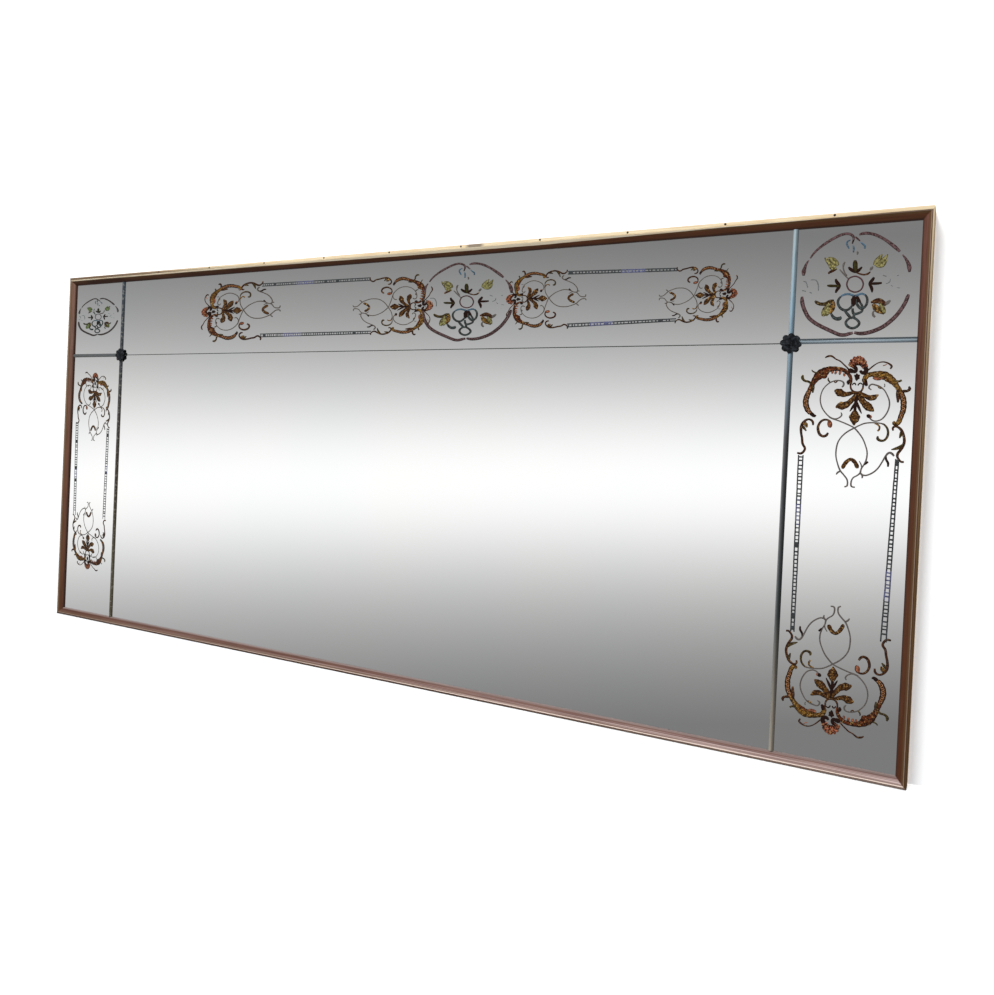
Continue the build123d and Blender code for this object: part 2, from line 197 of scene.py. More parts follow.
# Battens and hanger blocks
# Planed softwood glued and screwed to the board: two rails, five uprights, and a block beside
# each end upright for a hanger. The grain of each runs along its length.
def drawn_out(stretch, lengthwise):
    """A stretch along one axis, and none along the others."""
    return [stretch if axis == lengthwise else 1.0 for axis in range(3)]


def softwood(name, lengthwise, shade):
    """Pale pine with darker latewood lines and small knots, its grain along one axis."""
    stretch, knot_stretch = drawn_out(34.0, lengthwise), drawn_out(1.8, lengthwise)

    def build(place):
        lines = place.noise(0.0045, stretch, 4, 1.7)
        tone = place.noise(0.16, stretch=[1 + s / 12 for s in stretch], detail=2, shift=6.0)
        knots = place.noise(0.034, knot_stretch, 1, 9.0).rising(0.76, 0.84)
        early, late = np.array(rgb(218, 184, 132)) * shade, np.array(rgb(178, 128, 78)) * shade
        face = blend(lines.rising(0.46, 0.66), early, late)
        face = blend(tone.rising(0.4, 0.8) * 0.35, face, rgb(190, 146, 96))
        face = blend(knots, face, rgb(92, 56, 32))
        return {"Base Color": face, "Roughness": 0.55 + lines * 0.2, "Normal": lines.bump(0.00025)}

    return material(name, build)


ALONG_X, ALONG_Z = 0, 2
rail_pine = softwood("pine_rails", ALONG_X, 1.0)
upright_pine = softwood("pine_uprights", ALONG_Z, 0.94)
for node in ("batten_top", "batten_bottom"):
    dress(node, rail_pine)
for node in ("batten_left", "batten_inner_left", "batten_centre", "batten_inner_right", "batten_right"):
    dress(node, upright_pine)
block_pine = softwood("pine_blocks", ALONG_Z, 1.08)
for side in ("left", "right"):
    dress("hanger_block_" + side, block_pine)


# Screws
# Countersunk steel screws with a slot: the board's into the battens, and the moulding's through
# them. Bright once, they are dull now, with a little rust in the slots.
def worn_steel(bright, dull):
    """Steel that goes from a bright to a dull tone in small patches, with specks of rust."""

    def build(place):
        patches = place.noise(0.004, detail=5)
        specks = place.noise(0.0016, detail=3, shift=4.0).rising(0.64, 0.74)
        face = blend(patches.rising(0.38, 0.68), bright, dull)
        face = blend(specks * 0.7, face, rgb(118, 74, 44))
        return {
            "Base Color": face,
            "Metallic": 0.6 - specks * 0.5,
            "Roughness": 0.28 + patches * 0.22 + specks * 0.3,
            "Normal": patches.bump(0.00004),
        }

    return build


screw_steel = material("screw_steel", worn_steel(rgb(186, 182, 172), rgb(138, 132, 122)))
for node in ("board_screws", "frame_screws", "hanger_screws"):
    dress(node, screw_steel)


# Hangers
# A zinc-plated strap with a rolled knuckle on each block, and a bent wire ring that swings in it.
# The plating is greyer than the screws, with fine scratches along the strap.
def zinc_plate(place):
    spangle = place.noise(0.007, detail=2)
    scratches = place.noise(0.0012, (1, 1, 24), 4, 2.0)
    face = blend(spangle.rising(0.35, 0.7), rgb(196, 198, 196), rgb(164, 168, 170))
    face = blend(scratches.rising(0.6, 0.75) * 0.4, face, rgb(222, 222, 218))
    return {"Base Color": face, "Roughness": 0.24 + spangle * 0.2, "Normal": scratches.bump(0.00002)}


zinc = material("zinc_plate", zinc_plate, Metallic=0.5)
for side in ("left", "right"):
    dress("hanger_strap_" + side, zinc)
    dress("hanger_ring_" + side, zinc)


# Panes
# Six panes of silvered float glass with ground edges, standing on cork slips in the bottom
# rabbet. The silvering is sound, with the faintest grey cloud in it, and the edges are matt.
def silvering(place):
    cloud = place.noise(0.30, detail=2, shift=1.3)
    depth = place.axes()[1] * 1000 - GLASS_FRONT
    ground = depth.rising(0.02, 0.12)
    face = blend(cloud.rising(0.3, 0.7), rgb(249, 249, 248), rgb(247, 248, 248))
    return {
        "Base Color": blend(ground, face, rgb(92, 98, 94)),
        "Metallic": 1 - ground,
        "Roughness": 0.012 + ground * 0.5,
    }


def cork(place):
    cells = place.noise(0.0018, detail=4)
    face = cells.ramp((0.34, rgb(94, 62, 38)), (0.5, rgb(172, 128, 84)), (0.7, rgb(198, 158, 110)))
    return {"Base Color": face, "Normal": cells.bump(0.0003)}


GLASS_FRONT = -28.3
silvered_glass = material("silvered_glass", silvering)
for side in ("left", "right"):
    dress("pane_corner_" + side, silvered_glass)
    dress("pane_side_" + side, silvered_glass)
dress("pane_frieze", silvered_glass)
dress("pane_centre", silvered_glass)
dress("glass_packing", material("cork", cork, Roughness=0.9))


# Painted scrolls
# Old scrollwork painted on the panes in brown, rust and gold enamel, a little raised. One pattern
# is used eight times: four down the side panes, and four lying on the frieze. Those left of the
# middle are broader, and all but the two on the right duller, as the photograph shows them.
PAINT_RISE = 0.3
PAINT_SINK = 0.05
ACROSS = np.array((-1, -0.76, -0.42, 0, 0.42, 0.76, 1, 1, -1))
BRUSH_SPREAD = 1.22
FAR_SPREAD = 1.4
FAR_SHADE = (0.76, 0.73, 0.66)
RIM_FROM = 0.7
TOOTH_PITCH = 8.0

# Screen colours of the enamels, the darker line round a stroke's edge, and how much they mottle.
ENAMELS = {
    "dark": ((34, 16, 10), 0.3),
    "brown": ((64, 36, 20), 0.9),
    "rust": ((84, 40, 17), 1.0),
    "gold": ((116, 84, 34), 1.0),
    "olive": ((68, 58, 30), 0.9),
    "pink": ((152, 92, 66), 0.7),
    "shell": ((138, 80, 58), 1.0),
    "leaf": ((84, 54, 20), 1.0),
    "twist": ((40, 24, 14), 0.5),
    "thread": ((168, 122, 94), 0.6),
    "bronze": ((132, 86, 36), 0.6),
    "grey": ((96, 90, 86), 0.3),
    "blue": ((74, 100, 118), 0.5),
    "mauve": ((92, 70, 72), 0.8),
    "bud": ((52, 50, 20), 0.6),
    "ring": ((80, 52, 56), 0.4),
    "knot": ((58, 68, 68), 0.7),
    "lime": ((134, 128, 82), 0.8),
    "faint": ((104, 108, 108), 0.2),
    "slate": ((60, 64, 66), 0.3),
    "violet": ((88, 92, 122), 0.4),
}
RIM_COLOUR = (38, 18, 9)


def through(points, steps, closed=False):
    """A smooth line through (x, z, width) points, as rows: between two points it is the cubic
    with their places and slopes at its ends, the slope at a point being half the step from the
    one before it to the one after."""
    ring = np.vstack((points[-1:], points, points[:2])) if closed else points
    slopes = np.gradient(ring, axis=0)
    if closed:
        ring, slopes = ring[1:-1], slopes[1:-1]
    along = np.linspace(0, len(ring) - 1, steps)
    first = np.minimum(along.astype(int), len(ring) - 2)
    t = (along - first)[:, None]
    start, end = ring[first], ring[first + 1]
    leave, arrive = slopes[first], slopes[first + 1]
    return (
        (2 * t**3 - 3 * t**2 + 1) * start
        + (t**3 - 2 * t**2 + t) * leave
        + (3 * t**2 - 2 * t**3) * end
        + (t**3 - t**2) * arrive
    )


class Brushwork:
    """Painted strokes that become one mesh, in millimetres of a pattern's own (x, z) plane."""

    def __init__(self, spread=BRUSH_SPREAD):
        self.spread = spread
        self.places, self.faces, self.colours, self.count = [], [], [], 0

    def stroke(self, paint, points, rim=0.0, closed=False, teeth=0, steps=None, rise=PAINT_RISE):
        """One stroke, a ribbon with a rounded top. Across it, v goes from -1 to 1 and its height
        is the rise times the root of 1 - v squared. Teeth swell its edges by the size of a sine."""
        points = np.asarray(points, float).reshape(-1, 3)
        length = np.hypot(*np.diff(points[:, :2], axis=0).T).sum()
        line = through(points, steps or int(np.clip(length / 1.8, 6, 60)), closed)
        heading = np.gradient(line[:, :2], axis=0)
        heading /= np.maximum(np.hypot(*heading.T), 1e-9)[:, None]
        half = np.maximum(line[:, 2] * self.spread, 0.9) / 2
        share = np.linspace(0, 1, len(line))
        half = half * (1 + 0.16 * teeth * (np.abs(np.sin(np.pi * share * length / TOOTH_PITCH)) - 0.4))
        aside = ACROSS[None, :] * half[:, None]
        x = line[:, :1] - heading[:, 1:] * aside
        z = line[:, 1:2] + heading[:, :1] * aside
        lift = np.sqrt(1 - ACROSS**2) * rise * np.minimum(half / 0.6, 1)[:, None]
        lift[:, -2:] = -PAINT_SINK
        rows, columns = lift.shape
        index = self.count + np.arange(rows * columns).reshape(rows, columns)
        here, there = index[:-1], index[1:]
        if closed:
            here, there = index, np.roll(index, -1, axis=0)
        self.faces += np.stack(
            (here, there, np.roll(there, -1, axis=1), np.roll(here, -1, axis=1)), axis=-1
        ).reshape(-1, 4).tolist()
        if not closed:
            self.faces += [index[0].tolist(), index[-1][::-1].tolist()]
        self.places.append(np.stack((x, z, lift), axis=-1).reshape(-1, 3))
        body, mottle = ENAMELS[paint]
        edge = np.where(np.abs(ACROSS) >= RIM_FROM, rim, 0.0)[None, :, None]
        mixed = np.array(rgb(*body)) * (1 - edge) + np.array(rgb(*RIM_COLOUR)) * edge
        colour = np.concatenate((mixed, np.full((1, columns, 1), mottle)), axis=-1)
        self.colours.append(np.broadcast_to(colour, (rows, columns, 4)).reshape(-1, 4))
        self.count += rows * columns

    def twisted(self, points, rim):
        """A band wound with two threads, which weave from side to side of its middle line as a
        sine and its opposite."""
        points = np.asarray(points, float).reshape(-1, 3)
        self.stroke("twist", points, rim, teeth=0.8)
        length = np.hypot(*np.diff(points[:, :2], axis=0).T).sum()
        line = through(points, int(length / 0.9))
        heading = np.gradient(line[:, :2], axis=0)
        heading /= np.hypot(*heading.T)[:, None]
        turns = np.pi * np.linspace(0, 1, len(line)) * length / 3.6
        for paint, side in (("thread", 0.30), ("bronze", -0.30)):
            aside = side * line[:, 2] * np.sin(turns)
            x = line[:, 0] - heading[:, 1] * aside
            z = line[:, 1] + heading[:, 0] * aside
            width = np.full(len(line), 1.3)
            thread = np.stack((x, z, width), axis=-1)
            self.stroke(paint, thread, steps=2 * len(line), rise=1.5 * PAINT_RISE)

    def lay(self, name, origin=(0.0, 0.0), x_axis=(1.0, 0.0), z_axis=(0.0, 1.0), shade=(1, 1, 1)):
        """The mesh in its place on the glass: origin + x times x_axis + z times z_axis. Its
        colours are multiplied by a shade."""
        flat = np.concatenate(self.places)
        on_glass = np.array(origin) + flat[:, :1] * np.array(x_axis) + flat[:, 1:2] * np.array(z_axis)
        co = np.stack((on_glass[:, 0], GLASS_FRONT - flat[:, 2], on_glass[:, 1]), axis=-1) / 1000
        mesh = bpy.data.meshes.new(name)
        mesh.from_pydata(co.tolist(), [], self.faces)
        mesh.polygons.foreach_set("use_smooth", np.full(len(self.faces), True))
        paint = mesh.attributes.new("paint", "FLOAT_COLOR", "POINT")
        colours = np.concatenate(self.colours) * (*shade, 1)
        paint.data.foreach_set("color", colours.astype(np.float32).ravel())
        mesh.materials.append(enamel)
        piece = bpy.data.objects.new(name, mesh)
        bpy.context.scene.collection.objects.link(piece)
        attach(piece, "mirror")


def enamel_paint(place):
    """The stroke's own colour, mottled dark in spots as large as a brush mark, with flecks
    twice as bright where the enamel is thin and a few sparks of bare gold."""
    tree = place.tree
    base = Wire.node(tree, "Attribute", {"attribute_name": "paint"}, output="Color")
    mottle = Wire.node(tree, "Attribute", {"attribute_name": "paint"}, output="Alpha")
    spots = place.noise(0.0042, detail=2)
    flecks = place.noise(0.0026, detail=2, shift=7.0)
    face = blend(spots.rising(0.38, 0.60) * mottle * 0.9, base, rgb(30, 15, 8))
    face = blend(flecks.rising(0.52, 0.66) * mottle, face, blend(mottle, base, base, "ADD"))
    sparks = place.noise(0.0034, detail=1, shift=12.0).rising(0.63, 0.68)
    face = blend(sparks * mottle.rising(0.85, 0.95) * 0.38, face, rgb(204, 164, 104))
    return {"Base Color": face, "Roughness": 0.3 + spots * 0.2, "Normal": spots.bump(0.0001)}


enamel = material("enamel_paint", enamel_paint, Specular_IOR_Level=0.15)

# The camera of the photograph stood to the right, a little above the middle of the mirror, and
# leaned by 2.6 degrees. Its lens looks through LENS_MIDDLE, as the picture is cropped.
azimuth, elevation, lean = np.radians((28.367, 0.565, 2.6))
level_right = np.array((np.cos(azimuth), np.sin(azimuth), 0))
level_ahead = np.array((-np.sin(azimuth), np.cos(azimuth), 0))
forward = level_ahead * np.cos(elevation) - np.array((0, 0, np.sin(elevation)))
level_up = np.cross(level_right, forward)
view_right = level_right * np.cos(lean) + level_up * np.sin(lean)
view_up = level_up * np.cos(lean) - level_right * np.sin(lean)
CAMERA_PLACE = np.array((1.2312, -1.7051, 0.05835))
LENS, SENSOR, LENS_SHIFT = 30.829, 36.0, -0.0423
PHOTO_WIDTH, PHOTO_HEIGHT = 994, 995
LENS_MIDDLE = (PHOTO_WIDTH / 2, PHOTO_HEIGHT / 2 + LENS_SHIFT * PHOTO_WIDTH)


def on_glass(pixels):
    """Where lines of sight through pixels of the photograph meet the glass, as (x, z) in mm: the
    camera's place plus each line of sight times as much of it as ends at the glass."""
    across, down = (np.array(pixels, float) - LENS_MIDDLE).T[:, :, None] * SENSOR / LENS / PHOTO_WIDTH
    sight = forward + across * view_right - down * view_up
    camera = CAMERA_PLACE * 1000
    return (camera + sight * ((GLASS_FRONT - camera[1]) / sight[:, 1:2]))[:, ::2]


def span_on_glass(pixels, step):
    """How long a step in pixels is on the glass, with its middle at each pixel."""
    half = np.array(step) / 2
    return np.hypot(*(on_glass(pixels + half) - on_glass(pixels - half)).T)


def from_photo(points, centre):
    """Points of a stroke in mm about its pattern's centre, to the nearest half millimetre, from
    (x, y, width) in pixels. The size of a pixel is the root of its width times its height."""
    points = np.reshape(points, (-1, 3))
    places = points[:, :2]
    size = np.sqrt(span_on_glass(places, (1, 0)) * span_on_glass(places, (0, 1)))
    from_centre = on_glass(places) - on_glass([centre])
    return np.column_stack((np.round(2 * from_centre) / 2, np.round(points[:, 2] * size, 1)))


def laid_over(marks, pattern, centre):
    """The origin, x axis and z axis that carry a pattern's marks closest to a copy's, by least
    squares. A mark that is None on the copy is left out."""
    both = [(first, second) for first, second in zip(pattern, marks) if second]
    first, second = (on_glass(places) for places in zip(*both))
    known = np.column_stack((first - on_glass([centre]), np.ones(len(first))))
    x_axis, z_axis, origin = np.linalg.lstsq(known, second, rcond=None)[0]
    return origin, x_axis, z_axis


# The middle of the pattern is where its two strands cross. The shell's petals fan out from a foot,
# the star's points from its middle, and each thorn has its top and the way it leans.
SCROLL_CENTRE = (854.3, 428)
SHELL_FOOT = np.array((857.9, 370.5))
SHELL_TIPS = (
    (849.5, 363.5), (851.8, 359.6), (855.2, 357.3), (859, 356.6), (862.6, 358), (865.4, 360.9), (867, 365)
)
STAR = np.array((857, 376.9))
STAR_TIPS = np.array(
    ((854.3, 375), (856.6, 373.2), (859.8, 375), (859.4, 379), (856.7, 380.9), (854.9, 378.2))
)
THORNS = (
    (832.8, 371.8, -1.2, 2), (836.2, 372.2, -1.2, 2.2), (840.3, 372.6, -1, 2.4), (844.5, 374.3, -0.6, 2.2)
)


def shell_petal(x, y):
    """A petal as points at shares of the way from the shell's foot to its tip."""
    shares = ((0.45, 1.6), (0.75, 3.4), (1, 3.6), (1.06, 1.6))
    return [(*(SHELL_FOOT + share * (np.array((x, y)) - SHELL_FOOT)), width) for share, width in shares]


def thorn(x, y, lean_x, lean_y):
    """A thorn as points from above its top to the end of its lean."""
    return [(x, y - 1, 2), (x + 0.6 * lean_x, y + 0.6 * lean_y, 1.8), (x + lean_x, y + lean_y, 0.5)]


# Strokes of the pattern, placed on its copy at the upper right of the photograph: enamel,
# how dark its edge is, and x, y and width in pixels at points along it.
SCROLL = [
    ("brown", 0, [825.3, 357.6, 1, 828, 356.2, 1.8, 832, 356.3, 1.6, 836, 359.2, 1.2, 840, 361, 1.2,
     844, 364.6, 1.2, 849, 369.5, 1.3]),
    ("brown", 0, [868.5, 369.8, 1.3, 873, 366.3, 1.2, 877, 363.4, 1, 881, 362, 1.1, 885, 362.1, 1.2,
     889, 363.7, 1.5, 891.6, 366.2, 1.8, 890.2, 369, 1.3]),
    ("pink", 0, [883, 365.6, 0.8, 885, 365.2, 0.8, 887.3, 364, 0.6]),
    *[("shell", 0.55, shell_petal(*tip)) for tip in SHELL_TIPS],
    ("dark", 0, [852, 372, 1.8, 855, 371.3, 3.6, 856.2, 368.5, 3, 853.5, 366, 3.6, 856, 364.2, 2.6,
     860, 364.2, 2.6, 863.2, 366, 3.2, 866, 369, 3.8, 865.5, 372.4, 3.8, 862, 372.6, 3, 860.2,
     370.4, 2]),
    ("dark", 0, [849.3, 368.6, 2.6, 850.5, 370.6, 4, 853, 371.3, 3.6]),
    *[("dark", 0, [*STAR, 3, *(STAR + tip) / 2, 2.8, *tip, 0.5]) for tip in STAR_TIPS],
    ("brown", 0, [850.6, 381, 2.2, 850.5, 385, 1.5, 851, 388.5, 1.6, 853.2, 391.2, 1.7, 857, 392.4,
     2, 860.8, 391.4, 1.7, 862.8, 388.4, 1.6, 863.2, 385, 1.5, 864.6, 380.5, 2.2]),
    ("dark", 0, [852.2, 385.4, 0.9, 853.2, 383.7, 1.2, 854.9, 383.5, 1.3, 855.7, 385.4, 1]),
    ("dark", 0, [857.9, 385.6, 1, 858.8, 383.9, 1.3, 860.6, 383.2, 1.2, 862.3, 384.4, 0.9]),
    ("rust", 0.6, [850.8, 384.5, 1.6, 851, 380.5, 2.4, 850.3, 377, 2.8, 848, 373.2, 3, 844.5, 370.6,
     3.4, 840, 369.2, 3.6, 834, 368.6, 3.8, 828.5, 369.6, 5.2, 823.5, 372.6, 7.6, 819, 375.5, 7.2,
     815.3, 379.4, 5.2, 812.5, 384, 4, 810, 389, 3.6, 808, 394, 3.6]),
    ("rust", 0.6, [826.5, 373.5, 1.5, 824.8, 376.4, 3.8, 821.6, 377.6, 1.2]),
    *[("pink", 0.5, thorn(*place)) for place in THORNS],
    ("dark", 0, [849.6, 379.8, 1.2, 848.1, 382, 2.6, 848.6, 384.6, 1.2]),
    ("twist", 0.3, [809.3, 390.5, 3.4, 807.2, 395.5, 4.4, 805.9, 400.5, 4.6, 806, 405.5, 4.6, 807.8,
     410.2, 4.2, 810.6, 413.4, 3.2]),
    ("dark", 0, [809.5, 411.8, 2.4, 812, 414.3, 3.2, 814.4, 415.9, 2.6, 816, 415.2, 1]),
    ("olive", 0, [810.8, 383.3, 2, 808.3, 381.5, 1.9, 805.5, 381, 1.9, 803.3, 379.3, 2.2, 802.4,
     377.3, 2.5, 803.2, 374.9, 1.2]),
    ("olive", 0, [818.5, 372.8, 1.4, 815.3, 372.6, 1.2, 813, 371.4, 1.2, 811.8, 369.9, 0.8]),
    ("olive", 0.4, [812.4, 382.5, 2, 812.9, 387.5, 2.8, 812.7, 392.8, 1.2]),
    ("dark", 0, [867.2, 386, 1.8, 865.4, 383, 3.6, 864.4, 379.6, 3.6]),
    ("gold", 0.5, [864.4, 382, 3.4, 864.9, 378.6, 4, 867.4, 375.8, 4, 871.5, 374.4, 4.2, 876.5,
     374.6, 5.8, 881.5, 374.9, 6.6, 886, 376.4, 7.2, 890, 379, 6.8, 893.7, 382.2, 5.4, 896.7, 385.8,
     4.2, 899.2, 389.6, 4, 901.4, 393.5, 3.8]),
    ("pink", 0.5, [872.8, 377.6, 1.6, 876, 378.6, 3, 880.2, 379, 2.2, 882.5, 377.6, 0.8]),
    ("rust", 0.4, [884.2, 377.2, 1.4, 886.6, 379.6, 3.2, 889.6, 381.6, 2.2, 892.4, 382.4, 0.8]),
    ("twist", 0.3, [900.8, 392.2, 3.8, 902.6, 396.6, 4.6, 903.5, 401, 4.7, 903.7, 405.6, 4.7, 902.9,
     410.6, 4.5, 901.3, 415.4, 4.2, 899.8, 419.6, 4]),
    ("gold", 0.6, [900.6, 417.5, 3.4, 899, 421.5, 4.2, 896.4, 424.2, 3.6, 893.6, 423.2, 2.6, 894.8,
     421.4, 1.4]),
    ("olive", 0, [893.8, 380.8, 1.4, 896.5, 381.3, 2.2, 899.2, 381.3, 1.8, 901.9, 380.1, 1.9]),
    ("brown", 0.4, [901.2, 391.4, 2, 904.2, 391.2, 2.6, 907.6, 390.9, 2.3, 909.6, 388.8, 2.6, 909,
     386.3, 1.4]),
    ("brown", 0.4, [898.2, 388, 2.4, 898.4, 394, 3.8, 898.2, 398.5, 2.8, 898, 402.6, 1.4]),
    ("grey", 0, [884.5, 383.8, 0.8, 884.8, 385.6, 0.8, 883.8, 387.2, 0.7]),
    ("grey", 0, [841.8, 387.2, 1.2, 843.6, 385.4, 1.5, 843.6, 382.8, 1.4, 841, 380.8, 1.2, 836,
     380.6, 1.1, 831, 382.3, 1.1, 827, 385, 1, 823.5, 389, 1, 821.2, 394, 1, 820.4, 400, 1.1, 821.4,
     406, 1.1, 824, 411, 1.1, 828, 415.6, 1.1, 832, 418.3, 1.1, 836, 418.8, 1.2, 839.8, 417.4, 1.2,
     841.7, 414.8, 1.3, 841, 412.5, 0.8]),
    ("olive", 0, [831, 382.6, 0.8, 829, 381, 1.4, 828.1, 379.2, 1.2, 828.6, 377.6, 0.6]),
    ("brown", 0, [834, 381.4, 0.9, 835.6, 382.6, 1.3, 837.6, 381.2, 0.8]),
    ("grey", 0, [871.3, 389.8, 0.9, 869.2, 388.2, 1.3, 869.6, 385.8, 1.3, 872, 384.4, 1.3, 876, 385,
     1.3, 880, 386.8, 1.5, 884, 390, 1.1, 887, 394.6, 1.1, 889, 400, 1.2, 889.5, 405, 1.2, 888.4,
     410, 1.2, 885.4, 415.6, 1.2, 881, 419.6, 1.2, 876, 421.2, 1.2, 872, 420.2, 1.2, 869.7, 418,
     1.3]),
    ("gold", 0.4, [877.2, 385.2, 0.8, 879.8, 387.6, 1.9, 882.6, 388.2, 1]),
    ("dark", 0, [867.4, 417.6, 1.6, 868.6, 416.2, 4.2, 869.8, 414.6, 1.8]),
    ("pink", 0, [870.2, 418.4, 0.8, 870.9, 416.8, 1.7, 870.6, 415.2, 0.7]),
    ("leaf", 0.5, [857.2, 392.3, 2, 853, 392.7, 2.8, 848, 394, 3.6, 843.5, 394.2, 4.8, 839.5, 392.6,
     6.4, 836.6, 391.2, 4.4, 834.3, 390.6, 1]),
    ("leaf", 0.5, [857.6, 392.3, 2, 861.2, 393.8, 3.2, 865.4, 396, 3.6, 869.6, 397.7, 4.4, 873.4,
     397.5, 4.8, 876.2, 396, 3, 878.6, 394.9, 0.8]),
    ("leaf", 0.5, [856.6, 394, 2.8, 853.4, 398.2, 3.8, 849.4, 402.4, 4.4, 845, 405.2, 5.8, 840.6,
     405.8, 6.6, 837.6, 406.6, 3.4, 835.8, 407.6, 1]),
    ("leaf", 0.5, [857.8, 394, 2.8, 860.6, 398.6, 4.2, 864.4, 403.2, 5.4, 868, 406.6, 6.6, 871, 409,
     4.8, 874, 411.4, 1]),
    ("dark", 0, [857.2, 393, 4.2, 856.8, 397, 4.6, 856, 401.5, 2.8, 855.4, 406, 2.2, 854.8, 411,
     2.6]),
    ("leaf", 0.5, [855, 409.6, 1.6, 854.7, 413, 5.4, 854.5, 416.4, 8.4, 854.3, 420, 7.2, 854.1, 423,
     3.6, 854, 425.6, 0.8]),
    ("dark", 0, [855.3, 403.4, 2.2, 852.6, 407.2, 2.2, 849.9, 411.6, 0.8]),
    ("dark", 0, [856.6, 402.4, 2.2, 858.8, 407.8, 2.2, 861.6, 413.7, 0.8]),
    ("pink", 0.6, [829, 420.2, 2, 829.6, 423.4, 4, 829.8, 426.2, 3.4, 829.6, 427.6, 1.6]),
    ("brown", 0.3, [830.6, 421.6, 1.4, 828.4, 420.2, 1.6, 826, 419.6, 1.8, 823, 420.2, 1.9, 820,
     422.6, 2, 818.1, 426.4, 2.2, 818.1, 430.6, 2.4, 819.8, 434.2, 2.4, 823, 436.2, 2.2, 826.3,
     435.4, 2.3, 828.2, 432.8, 1.6]),
    ("olive", 0.3, [881.2, 423.4, 1.2, 884.2, 424.6, 1.5, 887, 428, 1.8, 888.1, 432.2, 2, 887.2,
     436.8, 2.1, 884.2, 440.2, 2, 880.6, 440.6, 2.2, 877.8, 438.8, 2.5, 877.8, 436.2, 1.5]),
    ("gold", 0, [874.6, 423.6, 1, 877.6, 424.6, 1.5, 879.4, 426.8, 1.5, 879.2, 429.4, 1.6, 877.4,
     431, 1.5]),
    ("grey", 0, [829, 417, 1, 833, 418.9, 1.1, 838, 420.6, 1.1, 845, 423.5, 1.2, 851, 426, 1.2,
     854.3, 428, 1.3, 858, 432, 1.3, 862.5, 438, 1.2, 865.5, 445, 1.1, 867, 452, 1.2, 866.4, 459,
     1.3, 864.2, 464.5, 1.2, 861.3, 469, 1.3, 860, 473, 1.5, 857, 475.6, 1.2, 853.4, 477.6, 1.2,
     851.3, 480.8, 1.3, 851, 485, 1.5, 852.4, 486.9, 1.3, 855, 487.3, 1.2]),
    ("grey", 0, [884, 424.2, 1.2, 879, 423.2, 1.2, 872, 422.7, 1.2, 865, 423.4, 1.2, 859, 425.7,
     1.2, 854.3, 428, 1.3, 848, 431.5, 1.3, 842, 436.2, 1.2, 838, 442, 1.2, 836.2, 449, 1.3, 836,
     456, 1.2, 837.4, 463, 1.2, 840, 470, 1.4, 843.6, 474.6, 1.3, 846.5, 478.6, 1.3, 847.5, 482,
     1.3, 846.9, 485.8, 1.4, 844.2, 487, 1.2]),
    ("grey", 0, [840.6, 470.8, 1.4, 837.6, 472.4, 1.6, 836.1, 474.4, 1]),
    ("grey", 0, [860.2, 472.8, 1.4, 862.2, 475.6, 1.7, 862, 478.2, 1]),
    ("dark", 0, [863.4, 465.4, 1, 865.6, 463.2, 2.2, 868.2, 461.9, 1.6]),
    ("grey", 0, [859.3, 461, 0.7, 861.2, 464.4, 1.1, 861.8, 468.4, 1.1]),
    ("grey", 0, [860, 473.2, 1.2, 863.4, 475, 1.3, 867, 475.2, 1.3, 873, 472.6, 1.3, 878, 468, 1.3,
     882, 462.2, 1.3, 885, 457, 1.5, 887.6, 453.7, 1.8, 890.2, 452.6, 1.9, 892.6, 454.2, 2, 893.8,
     456.2, 1.4]),
    ("dark", 0, [885.9, 456.2, 1.3, 886.2, 459.6, 1.9, 888, 463.2, 2, 887.9, 466.9, 1.4]),
    ("leaf", 0.6, [842.5, 468.9, 1.6, 843.4, 466.4, 3.2, 845.6, 463, 3.2, 848.4, 460.4, 3, 851,
     459.4, 2.8, 853.6, 460.8, 3.2, 855.9, 463.6, 3.2, 857, 467, 3.2, 857.2, 468.4, 1.4]),
    ("brown", 0.3, [813, 425.2, 1.4, 813, 422.4, 2, 811.2, 420.2, 1.9, 808.4, 419.2, 1.7, 805,
     420.9, 2.2, 802.3, 424, 2.6, 801, 428, 2.4, 801.1, 433, 2, 801.9, 438, 2, 802.6, 443.6, 2.1,
     804.8, 448, 2, 803.6, 451.4, 2, 800.6, 453.4, 2, 797, 452.9, 1.5]),
    ("gold", 0.4, [803.6, 423.2, 2, 805.8, 424.4, 3.4, 807, 427.4, 1.2]),
    ("olive", 0.3, [802.8, 426, 2, 804.4, 428.6, 2.2, 806.4, 431, 0.8]),
    ("brown", 0.3, [893, 430.6, 1.4, 892.8, 427.8, 1.9, 895.4, 426.4, 2, 899, 427.8, 2.2, 902,
     431.4, 2.4, 904, 436.6, 2.3, 904.2, 442, 2.4, 902.6, 447, 2.5, 900.2, 450.6, 2.3, 897.8, 453.6,
     2.4, 897.2, 456.6, 2.2, 898.6, 459.4, 1.9, 901, 461.9, 1.9, 904, 461.9, 1.8]),
    ("olive", 0.3, [901.8, 431.2, 2.2, 900.8, 434.6, 2.6, 899.4, 438.2, 0.9]),
    ("olive", 0.3, [903.6, 444.4, 2, 899.4, 447.4, 3, 895.6, 448.8, 2.4, 891.2, 449.8, 0.9]),
]
